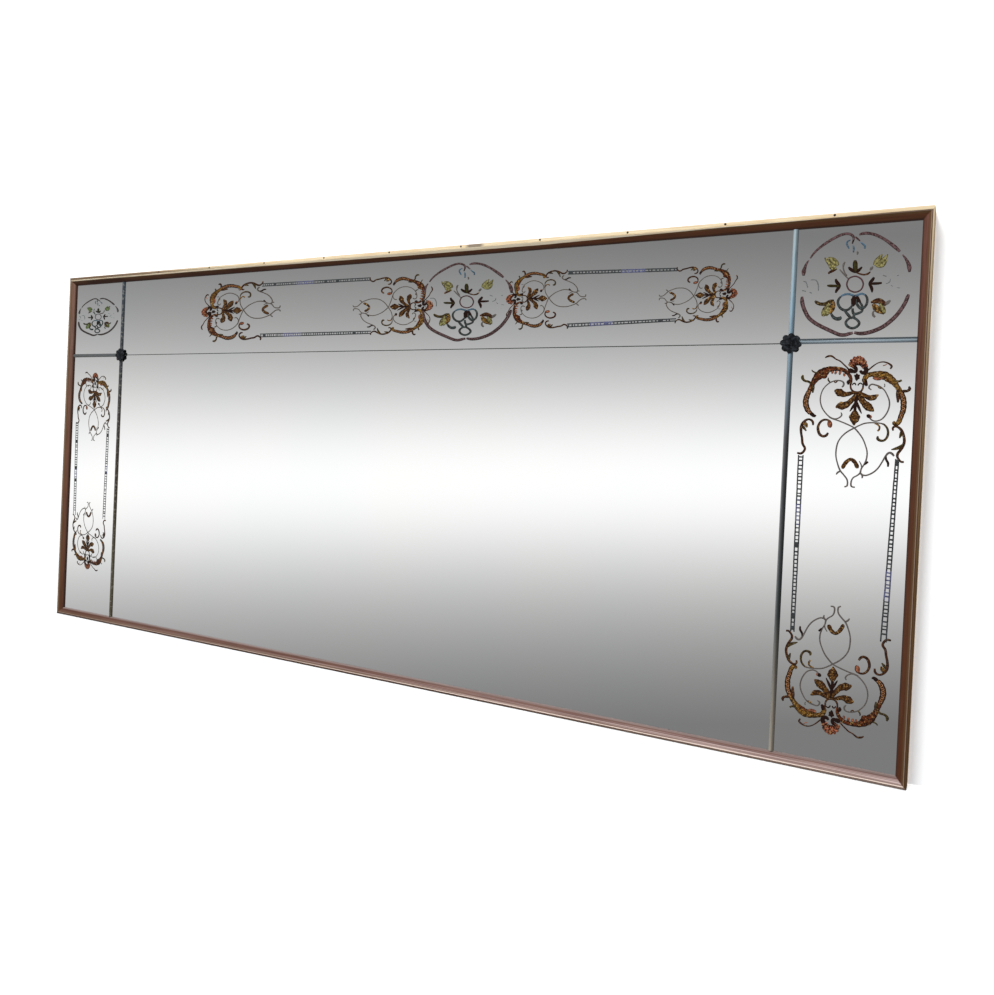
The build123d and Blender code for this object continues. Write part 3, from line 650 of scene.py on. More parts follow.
# Fifteen marks found on each copy, in pixels: shell, star, palmette, crossing, tails,
# outer sides, hooks, arch, antennae and the ends of the ladders.
SCROLL_MARKS = {
    "scroll_side_right_upper": [(858, 355.8), (857, 376.5), (854.2, 425.3), (854.3, 428), (844.3, 487),
     (855, 487.3), (804, 403), (905.8, 405), (802.8, 376), (910, 388), (850.8, 457.8), (825.3, 357.4),
     (891.9, 366.5), (799.5, 453.5), (897, 459)],
    "scroll_side_right_lower": [(832.5, 735.2), (831.3, 713.5), (833.3, 668.5), (833.3, 664), (842,
     606), (832, 606), (885.5, 690), (785, 685), (888, 719), (780.7, 699), (835.8, 633.5), (864, 737),
     (797.8, 721.5), (884, 643), (792.5, 632)],
    "scroll_side_left_upper": [(95, 373), (95.2, 384), (94.6, 408), (94.2, 410.3), (91, 440.5), (94.5,
     440.5), (79.3, 396), (109.8, 397), (77.8, 383.5), (111.5, 390.5), (93, 426), (85.5, 373), (105.5,
     377.5), (77.5, 422), (108, 427)],
    "scroll_side_left_lower": [(87.8, 569.5), (87.5, 558), (87.8, 535.5), (88.2, 532.3), (90.5, 502.5),
     (87.5, 502.5), (104.3, 545), (73, 541), (105, 561), (71, 551), (88.7, 517), (97, 571), (77.5,
     563.5), (104, 521.5), (74.5, 515.5)],
    "scroll_frieze_1": [(200.3, 312), (213.3, 311.8), (241.5, 310.5), (244, 310.3), (279.5, 311.5),
     (279, 306.5), (232, 339), (231, 285), (213.5, 342.5), (219, 282.7), (262, 310), (201, 330.5), (207,
     294.5), (260, 336), (262, 285.5)],
    "scroll_frieze_2": [(432, 303.5), (419, 306), (391, 306.5), (388.7, 306.5), (352.3, 304.8), (352.3,
     310), (404, 278.5), (404, 333), (416.5, 275.3), (416.5, 335.5), (369.8, 307), None, None, (371,
     279.5), (371.5, 333)],
    "scroll_frieze_3": [(505.3, 299.5), (518, 299.7), (547, 299), (550, 299), (585.5, 300), (585,
     295.5), (533, 326.8), (535, 272.3), (521.5, 329.7), (521, 270.3), (567.5, 298), None, None, (568,
     325.5), (567, 273)],
    "scroll_frieze_4": [(736, 293), (723.8, 294.3), (696, 295.5), (693, 296), (657.5, 295), (658,
     299.5), (711, 266), (708, 320), (723.5, 263), (719, 322), (675, 296.5), (736.5, 275.5), (731,
     311.5), (678, 269.5), (679, 320)],
}
near_scroll, far_scroll = Brushwork(), Brushwork(FAR_SPREAD)
for scroll in (near_scroll, far_scroll):
    for paint, rim, pixels in SCROLL:
        points = from_photo(pixels, SCROLL_CENTRE)
        if paint == "twist":
            scroll.twisted(points, rim)
        else:
            leafy = paint in ("leaf", "rust", "gold") and len(points) > 5
            scroll.stroke(paint, points, min(1.5 * rim, 1), teeth=0.9 if leafy else 0.0)

for name, marks in SCROLL_MARKS.items():
    placing = laid_over(marks, SCROLL_MARKS["scroll_side_right_upper"], SCROLL_CENTRE)
    scroll = near_scroll if placing[0][0] > 0 else far_scroll
    scroll.lay(name, *placing, (1, 1, 1) if "right" in name else FAR_SHADE)


# Painted medallions
# A broken ring with tulips, buds and a looped ribbon round a small ring, in greyed mauve, green
# and blue. One is in each corner pane and one in the middle of the frieze.
MEDALLION_CENTRE = (855, 284.2)
SMALL_RING_RADII, SMALL_RING_WIDTH = (8.2, 7.9), 1.3
around = np.linspace(0, 2 * np.pi, 16, endpoint=False)
SMALL_RING = [
    (*(MEDALLION_CENTRE + SMALL_RING_RADII * np.array((np.cos(angle), np.sin(angle)))), SMALL_RING_WIDTH)
    for angle in around
]

# Strokes as for the scrolls, placed on the copy in the right corner pane, and fifteen marks
# found on each of the three copies.
MEDALLION = [
    ("mauve", 0.25, [853.2, 240.6, 1.6, 853.8, 237.6, 2, 852.2, 235.2, 2.2, 849, 234, 2.2, 845,
     233.9, 2.3, 840, 235.3, 2.4, 833, 238.8, 2.4, 826, 243, 2.4, 819, 248.5, 2, 814, 253.4, 1.8,
     810.2, 258.2, 1.3]),
    ("mauve", 0.3, [808.8, 260.2, 1, 806.4, 263.8, 1.9, 804.8, 268, 2.6, 803.9, 271.8, 3.6, 803.5,
     275.8, 1.8]),
    ("mauve", 0.25, [859.3, 234.8, 1.4, 862, 233.9, 2.3, 866, 233.3, 2.6, 871, 233.6, 2.4, 877,
     235.5, 2.6, 884, 239, 2.4, 890, 243.2, 2.8, 896, 248, 2.9, 899.8, 251.6, 1.8]),
    ("mauve", 0.3, [902.6, 254.6, 1, 905.6, 258.8, 2, 908, 263, 2.8, 909.3, 267.6, 3.5, 909.3,
     272.2, 1.8]),
    ("mauve", 0.35, [802, 296.4, 1.8, 802.2, 301, 3.2, 803.3, 306.6, 3.2, 805.6, 312.6, 3.2, 809.2,
     318, 3.2, 815, 323, 3.2, 822, 326.9, 3.2, 829, 330.2, 3.2, 835, 333.1, 3.2, 840, 334.9, 3.2,
     845, 334.9, 3.1, 849, 333.7, 3, 852.8, 332.9, 2.2]),
    ("mauve", 0.35, [854.2, 332.6, 2.2, 860, 333.6, 3.2, 867, 332.9, 3.4, 875, 330.5, 3.5, 883,
     326.6, 3.5, 890, 321.6, 3.5, 896, 315.6, 3.4, 901, 309.4, 3.3, 905, 302.8, 3.2, 907.6, 297, 3,
     908.6, 294.2, 1.8]),
    ("blue", 0, [850.4, 240, 1, 847.6, 241.4, 1.4, 846.8, 243.8, 1.4, 848.2, 247.4, 1.4, 849.2,
     248.6, 0.8]),
    ("dark", 0, [853.3, 240.6, 1.4, 852.4, 243.8, 1]),
    ("blue", 0, [853.2, 245.4, 1, 853.8, 248.6, 1.6, 853.4, 252.4, 1.2]),
    ("blue", 0, [860.6, 242, 1, 863, 244, 1.5, 865, 246, 1.6, 864.6, 248.6, 1.2]),
    ("grey", 0, [857.2, 251.2, 1, 857.8, 252.8, 1.6, 857.4, 254.6, 1]),
    ("mauve", 0, [855.4, 236.6, 1.2, 857.6, 238.8, 1.6, 860.2, 241, 1]),
    ("bud", 0.7, [855, 260.2, 1.8, 855.1, 263.2, 3.8, 855.2, 267, 3.8, 855.3, 270.4, 3.4, 855.4,
     273, 0.8]),
    ("dark", 0, [848.6, 267, 1.4, 850.6, 269.2, 2.6, 853.2, 271, 2.8, 855.4, 272.4, 1.6]),
    ("dark", 0, [862, 266.8, 1.2, 860, 269.3, 2.4, 857.4, 271.2, 2.8, 855.4, 272.4, 1.6]),
    ("bud", 0.7, [827.2, 285.4, 1.2, 830.6, 285.9, 2.4, 835, 286, 2.3, 838.2, 286, 2.6, 841, 286.1,
     0.9]),
    ("dark", 0, [835.8, 279, 1.4, 836.6, 281.6, 2.6, 838.4, 284, 2.7, 840.4, 286, 1.4]),
    ("dark", 0, [835.6, 293, 1.2, 836.6, 290.4, 2.4, 838.4, 288, 2.7, 840.4, 286, 1.4]),
    ("dark", 0, [881.8, 282.9, 1.6, 877.6, 283.3, 2.3, 873, 283.5, 2.3, 868.6, 284, 1]),
    ("dark", 0, [874, 277.2, 1.6, 872.6, 279.6, 2.7, 870.6, 282, 2.6, 868.8, 284, 1.4]),
    ("dark", 0, [872, 292.4, 1, 872.1, 289.4, 2.4, 870.8, 286.4, 2.5, 868.8, 284, 1.4]),
    ("dark", 0, [854, 295.4, 2.6, 855, 297.6, 6, 855, 300.4, 7.2, 853.4, 303.4, 4.2, 852.6, 306.4,
     1.8]),
    ("dark", 0, [856, 297.4, 2.4, 858.6, 300, 2.6, 860.6, 303, 1.4]),
    ("ring closed", 0, SMALL_RING),
    ("blue", 0, [840, 297.2, 1.2, 843, 295.2, 1.8, 847.4, 294.2, 1.9, 852, 295, 1.9, 855, 296.2,
     2.2, 858.4, 294.8, 2, 862, 293.8, 1.9, 865.4, 295, 1.4]),
    ("knot", 0.3, [840.6, 296.8, 1.6, 838.4, 299.6, 2, 838, 303.4, 2.1, 839.8, 307.4, 2.2, 843.4,
     309.9, 2.3, 847.6, 309.8, 2.2, 851, 307.4, 2, 852.6, 304.4, 1.6]),
    ("knot", 0.3, [865, 294.8, 1.6, 867, 298, 2, 867.2, 302.4, 2.1, 865.4, 306.2, 2.1, 862.2, 309.2,
     2]),
    ("knot", 0.3, [856.4, 299.4, 1.6, 856.6, 303.6, 2.2, 859.4, 307.6, 2.4, 862.4, 309, 2, 862,
     305.6, 2, 859.4, 301.6, 1.6]),
    ("knot", 0.3, [844.6, 310.4, 1.8, 847.2, 313.8, 2.4, 850.2, 317, 2.2, 852.2, 318.8, 1.4]),
    ("knot", 0.3, [852.6, 308.4, 1.8, 852.8, 311.6, 2.2, 854.2, 314, 2.4, 858.4, 313.2, 2.2, 862,
     311.2, 2, 862.6, 308.8, 1.4]),
    ("knot", 0.3, [854.6, 313.8, 2.2, 853.8, 316.6, 2.2, 855.6, 319, 1.6]),
    ("knot closed", 0.3, [852, 317.6, 1.8, 848.4, 319, 2.1, 845.8, 322.4, 2.2, 847.4, 326.2, 2.2,
     852, 328.3, 2.2, 856.6, 326.8, 2.2, 859.2, 323.2, 2.2, 856.4, 319.4, 2.1]),
    ("lime", 0.35, [824.8, 257.8, 1, 827.8, 261.4, 3, 831.6, 264.8, 4, 836, 267.2, 2.4]),
    ("lime", 0.35, [828.2, 257.4, 1, 832, 259.8, 4.2, 836, 262.8, 4.2, 838.2, 265.4, 1.8]),
    ("lime", 0.35, [829.2, 262.6, 1, 830.6, 266.4, 3, 833.6, 269, 2.8, 837, 268.6, 1.2]),
    ("brown", 0, [836.6, 269.2, 1.2, 833, 270.8, 2.4, 829.6, 272.4, 2, 828.2, 273.8, 1]),
    ("grey", 0, [839.6, 269.6, 0.9, 843, 273.2, 1.3, 846, 276.4, 1.2, 848, 278.6, 0.9]),
    ("grey", 0, [845, 261.9, 1.2, 843.6, 264.2, 1.8, 843.2, 268, 1.1, 844.6, 272, 1.1, 847, 275.6,
     0.9]),
    ("lime", 0.35, [874.2, 265.2, 1.6, 876.4, 261.8, 4.2, 879.6, 258, 3.6, 882.4, 254.2, 0.9]),
    ("lime", 0.35, [875.4, 266.4, 1.6, 879.6, 263.4, 5, 884, 259.4, 3.8, 888, 254.4, 0.8]),
    ("lime", 0.35, [877.4, 266.8, 1.4, 881.6, 265.6, 3.8, 884.8, 262.8, 2.8, 886.8, 259.4, 0.9]),
    ("grey", 0, [873.2, 266.6, 1, 871.6, 268.2, 2.4, 870.3, 270.2, 1.4]),
    ("brown", 0, [870.4, 271.6, 1, 868, 273.7, 1.8, 864.4, 274.7, 1.5, 860.4, 274.2, 1.4, 856.6,
     272.6, 1]),
    ("olive", 0.35, [834, 300.2, 1.4, 830.4, 301.6, 3.4, 825.6, 304, 3.2, 820.4, 304.2, 2.8, 817,
     302.6, 2.8, 815, 300.8, 1.4]),
    ("gold", 0.35, [833.4, 301.4, 2, 832.8, 305.6, 4.4, 831.6, 309.8, 4.2, 829.4, 313.8, 1.4]),
    ("lime", 0.35, [828.8, 303.6, 2, 826.6, 308.6, 5.6, 824.4, 313, 5.2, 822.6, 316.4, 2]),
    ("lime", 0.3, [829.8, 308, 1.6, 828.2, 312.4, 3.4, 826.2, 316, 1.4]),
    ("knot", 0.3, [830.8, 313.4, 1.6, 833.2, 317, 2.6, 836.6, 319, 3, 840, 318.2, 3.4, 840.6, 316.2,
     1.2]),
    ("brown", 0.35, [870.6, 302.4, 1.2, 874.6, 301.6, 3.8, 879, 300.8, 4.6, 883.4, 303, 4, 886,
     305.4, 1.4]),
    ("gold", 0.35, [872.8, 304, 2, 875.6, 307.4, 5, 878.8, 310.6, 4.6, 881.8, 313.2, 1.8]),
    ("lime", 0.35, [880.2, 303.4, 2, 882, 307, 4, 883.6, 310.6, 3.6, 884.6, 313.6, 1.4]),
    ("olive", 0.3, [877.6, 308, 1.6, 880.4, 311.6, 3.2, 884.4, 313.6, 2]),
    ("grey", 0, [884.6, 304.4, 1.6, 887.4, 302.8, 3, 890.4, 300.2, 1.4]),
    ("grey", 0, [875, 309.8, 1.2, 873, 312.6, 1.6, 873.4, 315.2, 2, 875.2, 317.2, 1.6]),
    ("faint", 0, [803.4, 281.4, 0.7, 806.2, 282.2, 0.9, 807.8, 287.6, 0.7]),
    ("faint", 0, [810.8, 279.8, 0.7, 816, 280.2, 0.9, 818.4, 285, 1, 818.2, 290.6, 0.8]),
    ("faint", 0, [802, 290.4, 0.7, 806, 291.2, 0.8]),
    ("faint", 0, [809.6, 292.3, 0.7, 811.6, 293.2, 0.8]),
    ("faint", 0, [883, 275.2, 0.7, 886.6, 276.2, 0.8]),
    ("faint", 0, [890.2, 279, 0.7, 889.6, 281.9, 0.8, 886, 283.6, 0.7]),
    ("faint", 0, [896.8, 275.6, 0.8, 898.8, 275.4, 0.8]),
    ("faint", 0, [891, 285, 0.6, 892.6, 286.2, 0.6]),
    ("faint", 0, [897, 287.4, 0.5, 900, 287.8, 0.5]),
]
MEDALLION_MARKS = {
    "medallion_right": [(855.8, 236.5), (853.3, 333.2), (855, 284.2), (803.4, 275.5), (909.3, 272),
     (802.2, 296.5), (908.6, 294.3), (852, 328.3), (855.2, 272.5), (840.5, 286), (868.8, 284), (831,
     263), (881, 261), (828, 309), (879, 307)],
    "medallion_centre": [(466.5, 266.3), (464.8, 338.2), (467, 301.3), (425, 291), (511.5, 291.5), (423,
     313), (511.3, 309.5), (464.8, 334.8), (467, 293.8), (454.5, 304), (478, 301.8), (446, 286), (487,
     285.5), (444, 321), (488, 319.5)],
    "medallion_left": [(98.2, 300.2), (97.3, 335), (97.3, 317.2), (79.8, 313.5), (118.5, 311.5), (79.2,
     321.5), (118.2, 320.5), (97, 333), (98.3, 313), (93, 317.5), (102.8, 316.5), (89.5, 309.5), (107.5,
     308.5), (88.3, 326), (107, 324.5)],
}
near_medallion, far_medallion = Brushwork(), Brushwork(FAR_SPREAD)
for medallion in (near_medallion, far_medallion):
    for paint, rim, pixels in MEDALLION:
        name, *closed = paint.split()
        points = from_photo(pixels, MEDALLION_CENTRE)
        medallion.stroke(name, points, min(1.8 * rim, 1), closed=bool(closed))

for name, medallion, shade in (
    ("medallion_right", near_medallion, (1, 1, 1)),
    ("medallion_centre", near_medallion, (0.8, 0.84, 0.82)),
    ("medallion_left", far_medallion, (0.45, 0.7, 0.65)),
):
    placing = laid_over(MEDALLION_MARKS[name], MEDALLION_MARKS["medallion_right"], MEDALLION_CENTRE)
    medallion.lay(name, *placing, shade)


# Painted ladders
# Narrow ladders that join the scrolls: two thin lines with rungs between them, a rung every 7 mm
# or so by hand, some cells filled in. A stretch of each is violet.
RUNG_PITCH = 7.4
# Both ends and the widths there, in pixels of the photograph, and the stretch that is violet.
LADDERS = {
    "ladder_right_inner": ((800.8, 455), (792.3, 631.5), (5.6, 4.0), (0.25, 0.40)),
    "ladder_right_outer": ((897.2, 459), (883.3, 642), (3.6, 6.8), (0.60, 0.78)),
    "ladder_left_outer": ((77.2, 422), (74.4, 515), (2.6, 2.4), (0.5, 0.6)),
    "ladder_left_inner": ((108, 428), (103.8, 519), (2.4, 2.6), (0.4, 0.5)),
    "ladder_frieze_left_upper": ((262.2, 285), (370, 279), (3.0, 3.0), (0.32, 0.50)),
    "ladder_frieze_left_lower": ((260, 335.5), (371, 332.3), (3.6, 2.8), (0.20, 0.38)),
    "ladder_frieze_right_upper": ((568, 272.8), (677.5, 269.5), (3.2, 3.0), (0.50, 0.72)),
    "ladder_frieze_right_lower": ((567, 325.5), (676, 319.8), (3.6, 2.6), (0.22, 0.42)),
}
hand = np.random.default_rng(11)
for name, (start, end, widths, violet) in LADDERS.items():
    ladder = Brushwork()
    across = np.array((0, 1) if "frieze" in name else (1, 0))
    widths = [span_on_glass([place], width * across)[0] for place, width in zip((start, end), widths)]
    widths = np.round(widths, 1)
    start, end = np.round(on_glass([start, end]), 1)
    length = np.hypot(*(end - start))
    heading = (end - start) / length
    aside = np.array((-heading[1], heading[0]))

    def at(share, side):
        """A point on the ladder: the share of its length, and from -1 to 1 across it."""
        half = (widths[0] + (widths[1] - widths[0]) * share) / 2
        return start + heading * length * share + aside * side * half

    def enamel_at(share):
        return "violet" if violet[0] < share < violet[1] else "slate"

    pieces = np.linspace(0, 1, 19)
    for side in (-1, 1):
        for first, last in zip(pieces, pieces[1:]):
            middle = (first + last) / 2
            ends = [(*at(share, side * 0.8 + hand.normal(0, 0.02)), 2.1) for share in (first, middle, last)]
            ladder.stroke(enamel_at(middle), ends, steps=5)
    rungs = np.arange(RUNG_PITCH / 2, length, RUNG_PITCH)
    rungs = (rungs + hand.normal(0, 0.7, len(rungs))).clip(0.5, length - 0.5) / length
    for share, following in zip(rungs, rungs[1:]):
        ends = [(*at(share, side), hand.uniform(1.7, 2.8)) for side in (-0.9, 0, 0.9)]
        ladder.stroke(enamel_at(share), ends, steps=4)
        if hand.random() < 0.05:
            middle = (share + following) / 2
            width = 0.7 * (following - share) * length
            ends = [(*at(middle, side), width) for side in (-0.6, 0, 0.6)]
            ladder.stroke(enamel_at(middle), ends, steps=5)
    ladder.lay(name)


# Strips
# Half-round strips of glass, silvered at the back, laid over the joints at the two ends. Their
# tones are a painted reflection of the room in long bands, with painted highlight and painted shade
# along their sides, and the silvering under the left ones is chipped.
def glass_strip(name, lengthwise, stops, span, middle, sides, chips=0.0):
    """Painted reflection tones of a strip from its low end to its high end, and how far its lower or
    left side and its upper or right side go towards a pale painted highlight, where the share is
    positive, and a dark painted shade, where it is negative. The middle is its centre line."""
    low, high = span

    def build(place):
        wires = place.axes()
        along = (wires[lengthwise] - low) / (high - low)
        across = (wires[ALONG_Z - lengthwise] - middle) / STRIP_HALF_BREADTH
        tone = along.ramp(*[(share, rgb(*colour)) for share, colour in stops])
        # Painted highlight and painted shade: each side goes towards a pale tone for a positive share and a
        # dark one for a negative share.
        for share, reached in zip(sides, (1 - across.rising(-0.75, -0.1), across.rising(-0.1, 0.4))):
            tone = blend(reached * abs(share), tone, rgb(190, 196, 198) if share > 0 else rgb(26, 30, 32))
        streaks = place.noise(0.0016, drawn_out(30, lengthwise), 2, 2.0)
        tone = blend(streaks.rising(0.5, 0.72) * 0.25, tone, rgb(28, 30, 30))
        if chips:
            lost = place.noise(0.006, detail=3, shift=5.0).rising(0.56, 0.6) * chips
            tone = blend(lost, tone, rgb(206, 204, 190))
        return {"Base Color": tone, "Roughness": 0.14 + streaks * 0.12}

    return material(name, build, Metallic=0.2, Specular_IOR_Level=0.3)


HALF_HEIGHT, HALF_WIDTH, JOINT_X, JOINT_Z = 0.4935, 1.160, 0.9454, 0.2789
RIGHT_CROSS_LIFT, STRIP_HALF_BREADTH = 0.0035, 0.005
# The strip tones are painted reflections of the room: a stone tone, a shade tone and sky.
REFLECTED_STONE, SHADE, REFLECTED_SKY = (170, 160, 145), (60, 65, 65), (150, 180, 198)
RIGHT_REFLECTION_TONES = ((0.0, REFLECTED_STONE), (0.26, SHADE), (0.60, (72, 70, 72)), (0.84, REFLECTED_SKY), (1.0, (170, 188, 195)))
LEFT_REFLECTION_TONES = ((0.0, (89, 81, 63)), (0.12, (96, 90, 72)), (0.45, (72, 62, 52)), (1.0, (68, 78, 88)))
UPRIGHT_SPAN = (-HALF_HEIGHT, HALF_HEIGHT)
right_strip = glass_strip("glass_strip_right", ALONG_Z, RIGHT_REFLECTION_TONES, UPRIGHT_SPAN, JOINT_X, (0.25, -0.5))
left_strip = glass_strip("glass_strip_left", ALONG_Z, LEFT_REFLECTION_TONES, UPRIGHT_SPAN, -JOINT_X, (0.25, -0.1), 0.2)
for node in ("strip_right_upper", "strip_right_lower"):
    dress(node, right_strip)
for node in ("strip_left_upper", "strip_left_lower"):
    dress(node, left_strip)
RIGHT_CROSS_REFLECTION_TONES = ((0.0, (142, 158, 168)), (0.6, (170, 184, 194)), (1.0, (150, 166, 176)))
LEFT_CROSS_REFLECTION_TONES = ((0.0, (90, 93, 94)), (1.0, (96, 99, 100)))
for side, tones, span, middle, sides in (
    ("right", RIGHT_CROSS_REFLECTION_TONES, (JOINT_X, HALF_WIDTH), JOINT_Z + RIGHT_CROSS_LIFT, (0.0, -0.85)),
    ("left", LEFT_CROSS_REFLECTION_TONES, (-HALF_WIDTH, -JOINT_X), JOINT_Z, (0.35, -0.1)),
):
    cross = glass_strip("glass_strip_" + side + "_cross", ALONG_X, tones, span, middle, sides)
    dress("strip_" + side + "_cross", cross)


# Rosettes
# Blackened cast flowers over the crossings, two rings of eight petals round a domed bolt. A felt
# pad is under each boss, and a washer and nut hold it behind the board.
PETALS = 8
OUTER_PETAL = (12.0, 7.1, 6.2, 5.4, 2.4)
INNER_PETAL = (8.0, 4.2, 2.9, 6.6, 1.9)
HUB_RADIUS, HUB_HEIGHT = 5.8, 8.4
BORE, BOSS, SEAT, PAD = 2.6, 6.4, 5.0, 0.6


def petal_ring(radius, angle, petal, turn):
    """Height of a ring of petals: its base plus its swell times the root of 1 - p squared - q
    squared, where p and q are the distances along and across a petal over its half length and
    half breadth. A groove runs along the middle of each."""
    centre, half_length, half_breadth, base, swell = petal
    off_axis = (angle - turn + np.pi / PETALS) % (2 * np.pi / PETALS) - np.pi / PETALS
    p = (radius * np.cos(off_axis) - centre) / half_length
    q = radius * np.sin(off_axis) / half_breadth
    inside = 1 - p**2 - q**2
    groove = 0.55 * np.exp(-((q / 0.16) ** 2)) * (np.abs(p) < 0.75)
    height = base + swell * np.sqrt(np.maximum(inside, 0)) - groove
    return np.where(inside > 0, height, 0.0)


def petal_outline(angle, petal, turn):
    """Distance from the middle to the far side of a petal's ellipse along each angle, as the
    larger root of its quadratic."""
    centre, half_length, half_breadth, _, _ = petal
    off_axis = (angle - turn + np.pi / PETALS) % (2 * np.pi / PETALS) - np.pi / PETALS
    square = (np.cos(off_axis) / half_length) ** 2 + (np.sin(off_axis) / half_breadth) ** 2
    linear = -2 * centre * np.cos(off_axis) / half_length**2
    constant = (centre / half_length) ** 2 - 1
    return (-linear + np.sqrt(np.maximum(linear**2 - 4 * square * constant, 0))) / (2 * square)


def cast_rosette(name, node, middle, turn):
    """A closed shell in rings: out over the petals from the bore, down their edge, in along the
    underside, down the boss and back up the bore."""
    angle = np.linspace(0, 2 * np.pi, 192, endpoint=False)
    edge = petal_outline(angle, OUTER_PETAL, turn)
    radius = BORE + (edge - BORE) * np.linspace(0, 1, 44)[:, None]
    height = np.maximum(
        petal_ring(radius, angle, OUTER_PETAL, turn),
        petal_ring(radius, angle, INNER_PETAL, turn + np.pi / PETALS),
    )
    height = np.where(radius < HUB_RADIUS, HUB_HEIGHT, np.maximum(height, OUTER_PETAL[3]))
    height += 0.12 * np.sin(3 * angle + turn) * (radius > HUB_RADIUS)
    under = np.ones_like(angle)
    radius = np.vstack((radius, edge, BOSS * under, BOSS * under, BORE * under))
    height = np.vstack((height, SEAT * under, SEAT * under, PAD * under, PAD * under))
    x = middle[0] + radius * np.cos(angle)
    z = middle[1] + radius * np.sin(angle)
    co = np.stack((x, GLASS_FRONT - height, z), axis=-1).reshape(-1, 3) / 1000
    rings, around = radius.shape
    here = np.arange(rings * around).reshape(rings, around)
    there = np.roll(here, -1, axis=0)
    faces = np.stack((here, there, np.roll(there, -1, axis=1), np.roll(here, -1, axis=1)), axis=-1)
    mesh = bpy.data.meshes.new(name)
    mesh.from_pydata(co.tolist(), [], faces.reshape(-1, 4).tolist())
    mesh.polygons.foreach_set("use_smooth", np.full(rings * around, True))
    mesh.materials.append(black_iron)
    piece = bpy.data.objects.new(name, mesh)
    bpy.context.scene.collection.objects.link(piece)
    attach(piece, "mirror")
    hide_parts(node)


def blackened(place):
    grit = place.noise(0.0011, detail=4)
    worn = place.noise(0.006, detail=3, shift=8.0)
    face = blend(worn.rising(0.4, 0.7), rgb(22, 25, 29), rgb(66, 70, 76))
    return {
        "Base Color": face,
        "Metallic": 0.35 + worn * 0.4,
        "Roughness": 0.34 + grit * 0.3,
        "Normal": grit.bump(0.00012),
    }


def felt(place):
    fibre = place.noise(0.0008, detail=5)
    return {"Base Color": blend(fibre, rgb(44, 52, 44), rgb(78, 86, 74)), "Normal": fibre.bump(0.0002)}


black_iron = material("black_iron", blackened)
cast_rosette("rosette_flower_left", "rosette_left", (-945.4, 278.9), 0.13)
cast_rosette("rosette_flower_right", "rosette_right", (945.4, 278.9), -0.07)
dress("rosette_bolts", black_iron)
dress("rosette_pads", material("felt", felt, Roughness=0.95))
dress("rosette_washers", screw_steel)
dress("rosette_nuts", screw_steel)


# Moulding
# Four mitred lengths of softwood moulding. The slope is stained brown, darker by the glass, a thin
# quirk stays dark, and the bead outside it is rubbed pale. A painted highlight runs along the
# crest. The bottom is greyed by a veil that is partly dust and partly painted sheen, and is paler
# by the glass with a painted reflection.
def stained(
    name, side, axis, lengthwise, tones, bead,
    veil=None, bare=None, crest=((0.0, 0.1),), inner=(66, 42, 32), quirk=0.6,
):
    """Stained wood on one member. Out is the distance in mm from the sight edge along an axis, on
    the given side. The tones are at its low end, its middle and its high end, and bead, veil and
    crest say along it how the bead is coloured, how much of a pale veil, part dust and part painted
    sheen, lies, and how strong the painted highlight along the crest is. Bare is how far out the
    stain reaches, inner the tone by the glass, quirk its darkness."""
    edge = (HALF_WIDTH, None, HALF_HEIGHT)[axis]

    def build(place):
        wires = place.axes()
        out = (wires[axis] * side - edge) * 1000
        along = wires[lengthwise]
        ends = (HALF_WIDTH, None, HALF_HEIGHT)[lengthwise]
        share = along / (2 * ends) + 0.5
        grain = place.noise(0.0016, drawn_out(42, lengthwise), 4, 2.0)
        cloud = place.noise(0.035, drawn_out(5, lengthwise), 3, 5.0)
        tone = share.ramp((0.0, rgb(*tones[0])), (0.5, rgb(*tones[1])), (1.0, rgb(*tones[2])))
        tone = blend(grain.rising(0.42, 0.68) * 0.45, tone, rgb(44, 24, 16))
        tone = blend(cloud.rising(0.45, 0.75) * 0.35, tone, rgb(112, 74, 46))
        tone = blend(1 - out.rising(0.2, 4.5), tone, rgb(*inner))
        tone = blend(out.rising(8.0, 11.5) * 0.7, tone, rgb(96, 72, 44))
        # Partly dust and partly painted sheen: a pale veil that grows along the member, with pale lines in it
        # and dark lines along the grain.
        if veil:
            dust_and_sheen = share.ramp(*[(at, (v, v, v)) for at, v in veil])
            dust_and_sheen = dust_and_sheen * (0.75 + cloud * 0.5) * out.rising(1.0, 9.0)
            tone = blend(dust_and_sheen, tone, rgb(196, 174, 170))
            lines = place.noise(0.0013, drawn_out(300, lengthwise), 1, 9.0)
            tone = blend((lines - 0.5).rising(-0.02, 0.1) * dust_and_sheen * 1.4, tone, rgb(222, 200, 196))
            tone = blend((0.5 - lines).rising(-0.02, 0.1) * 0.3, tone, rgb(70, 44, 38))
        # Painted highlight: a pale line along the crest, where light catches it.
        worn = out.rising(12.6, 13.3) * (1 - out.rising(14.3, 14.7))
        crest_highlight = share.ramp(*[(at, (v, v, v)) for at, v in crest]) + grain * 0.2
        tone = blend(worn * crest_highlight, tone, rgb(236, 214, 202))
        outer = share.ramp(*[(at, rgb(*colour)) for at, colour in bead])
        outer = blend(grain.rising(0.45, 0.7) * 0.18, outer, rgb(74, 54, 34))
        outer = blend((1 - out.rising(15.4, 17.0)) * 0.35, outer, rgb(96, 72, 48))
        face = blend(out.rising(14.75, 15.0) * quirk, tone, rgb(52, 33, 23))
        face = blend(out.rising(15.3, 15.9), face, outer)
        if bare:
            limit = share.ramp(*[(at, (v / 20, v / 20, v / 20)) for at, v in bare]) * 20
            raw = blend(grain.rising(0.4, 0.7), rgb(246, 234, 208), rgb(232, 208, 170))
            face = blend((out + cloud * 1.5 - limit - 0.75).rising(-0.4, 0.5), face, raw)
        behind = (wires[1] * 1000 + 26.0).rising(0, 1.0)
        face = blend(behind, face, blend(grain, rgb(168, 132, 92), rgb(134, 98, 64)))
        rough = 0.36 + grain * 0.2 + behind * 0.3
        return {"Base Color": face, "Roughness": rough, "Normal": grain.bump(0.00012)}

    return material(name, build, Specular_IOR_Level=0.25)


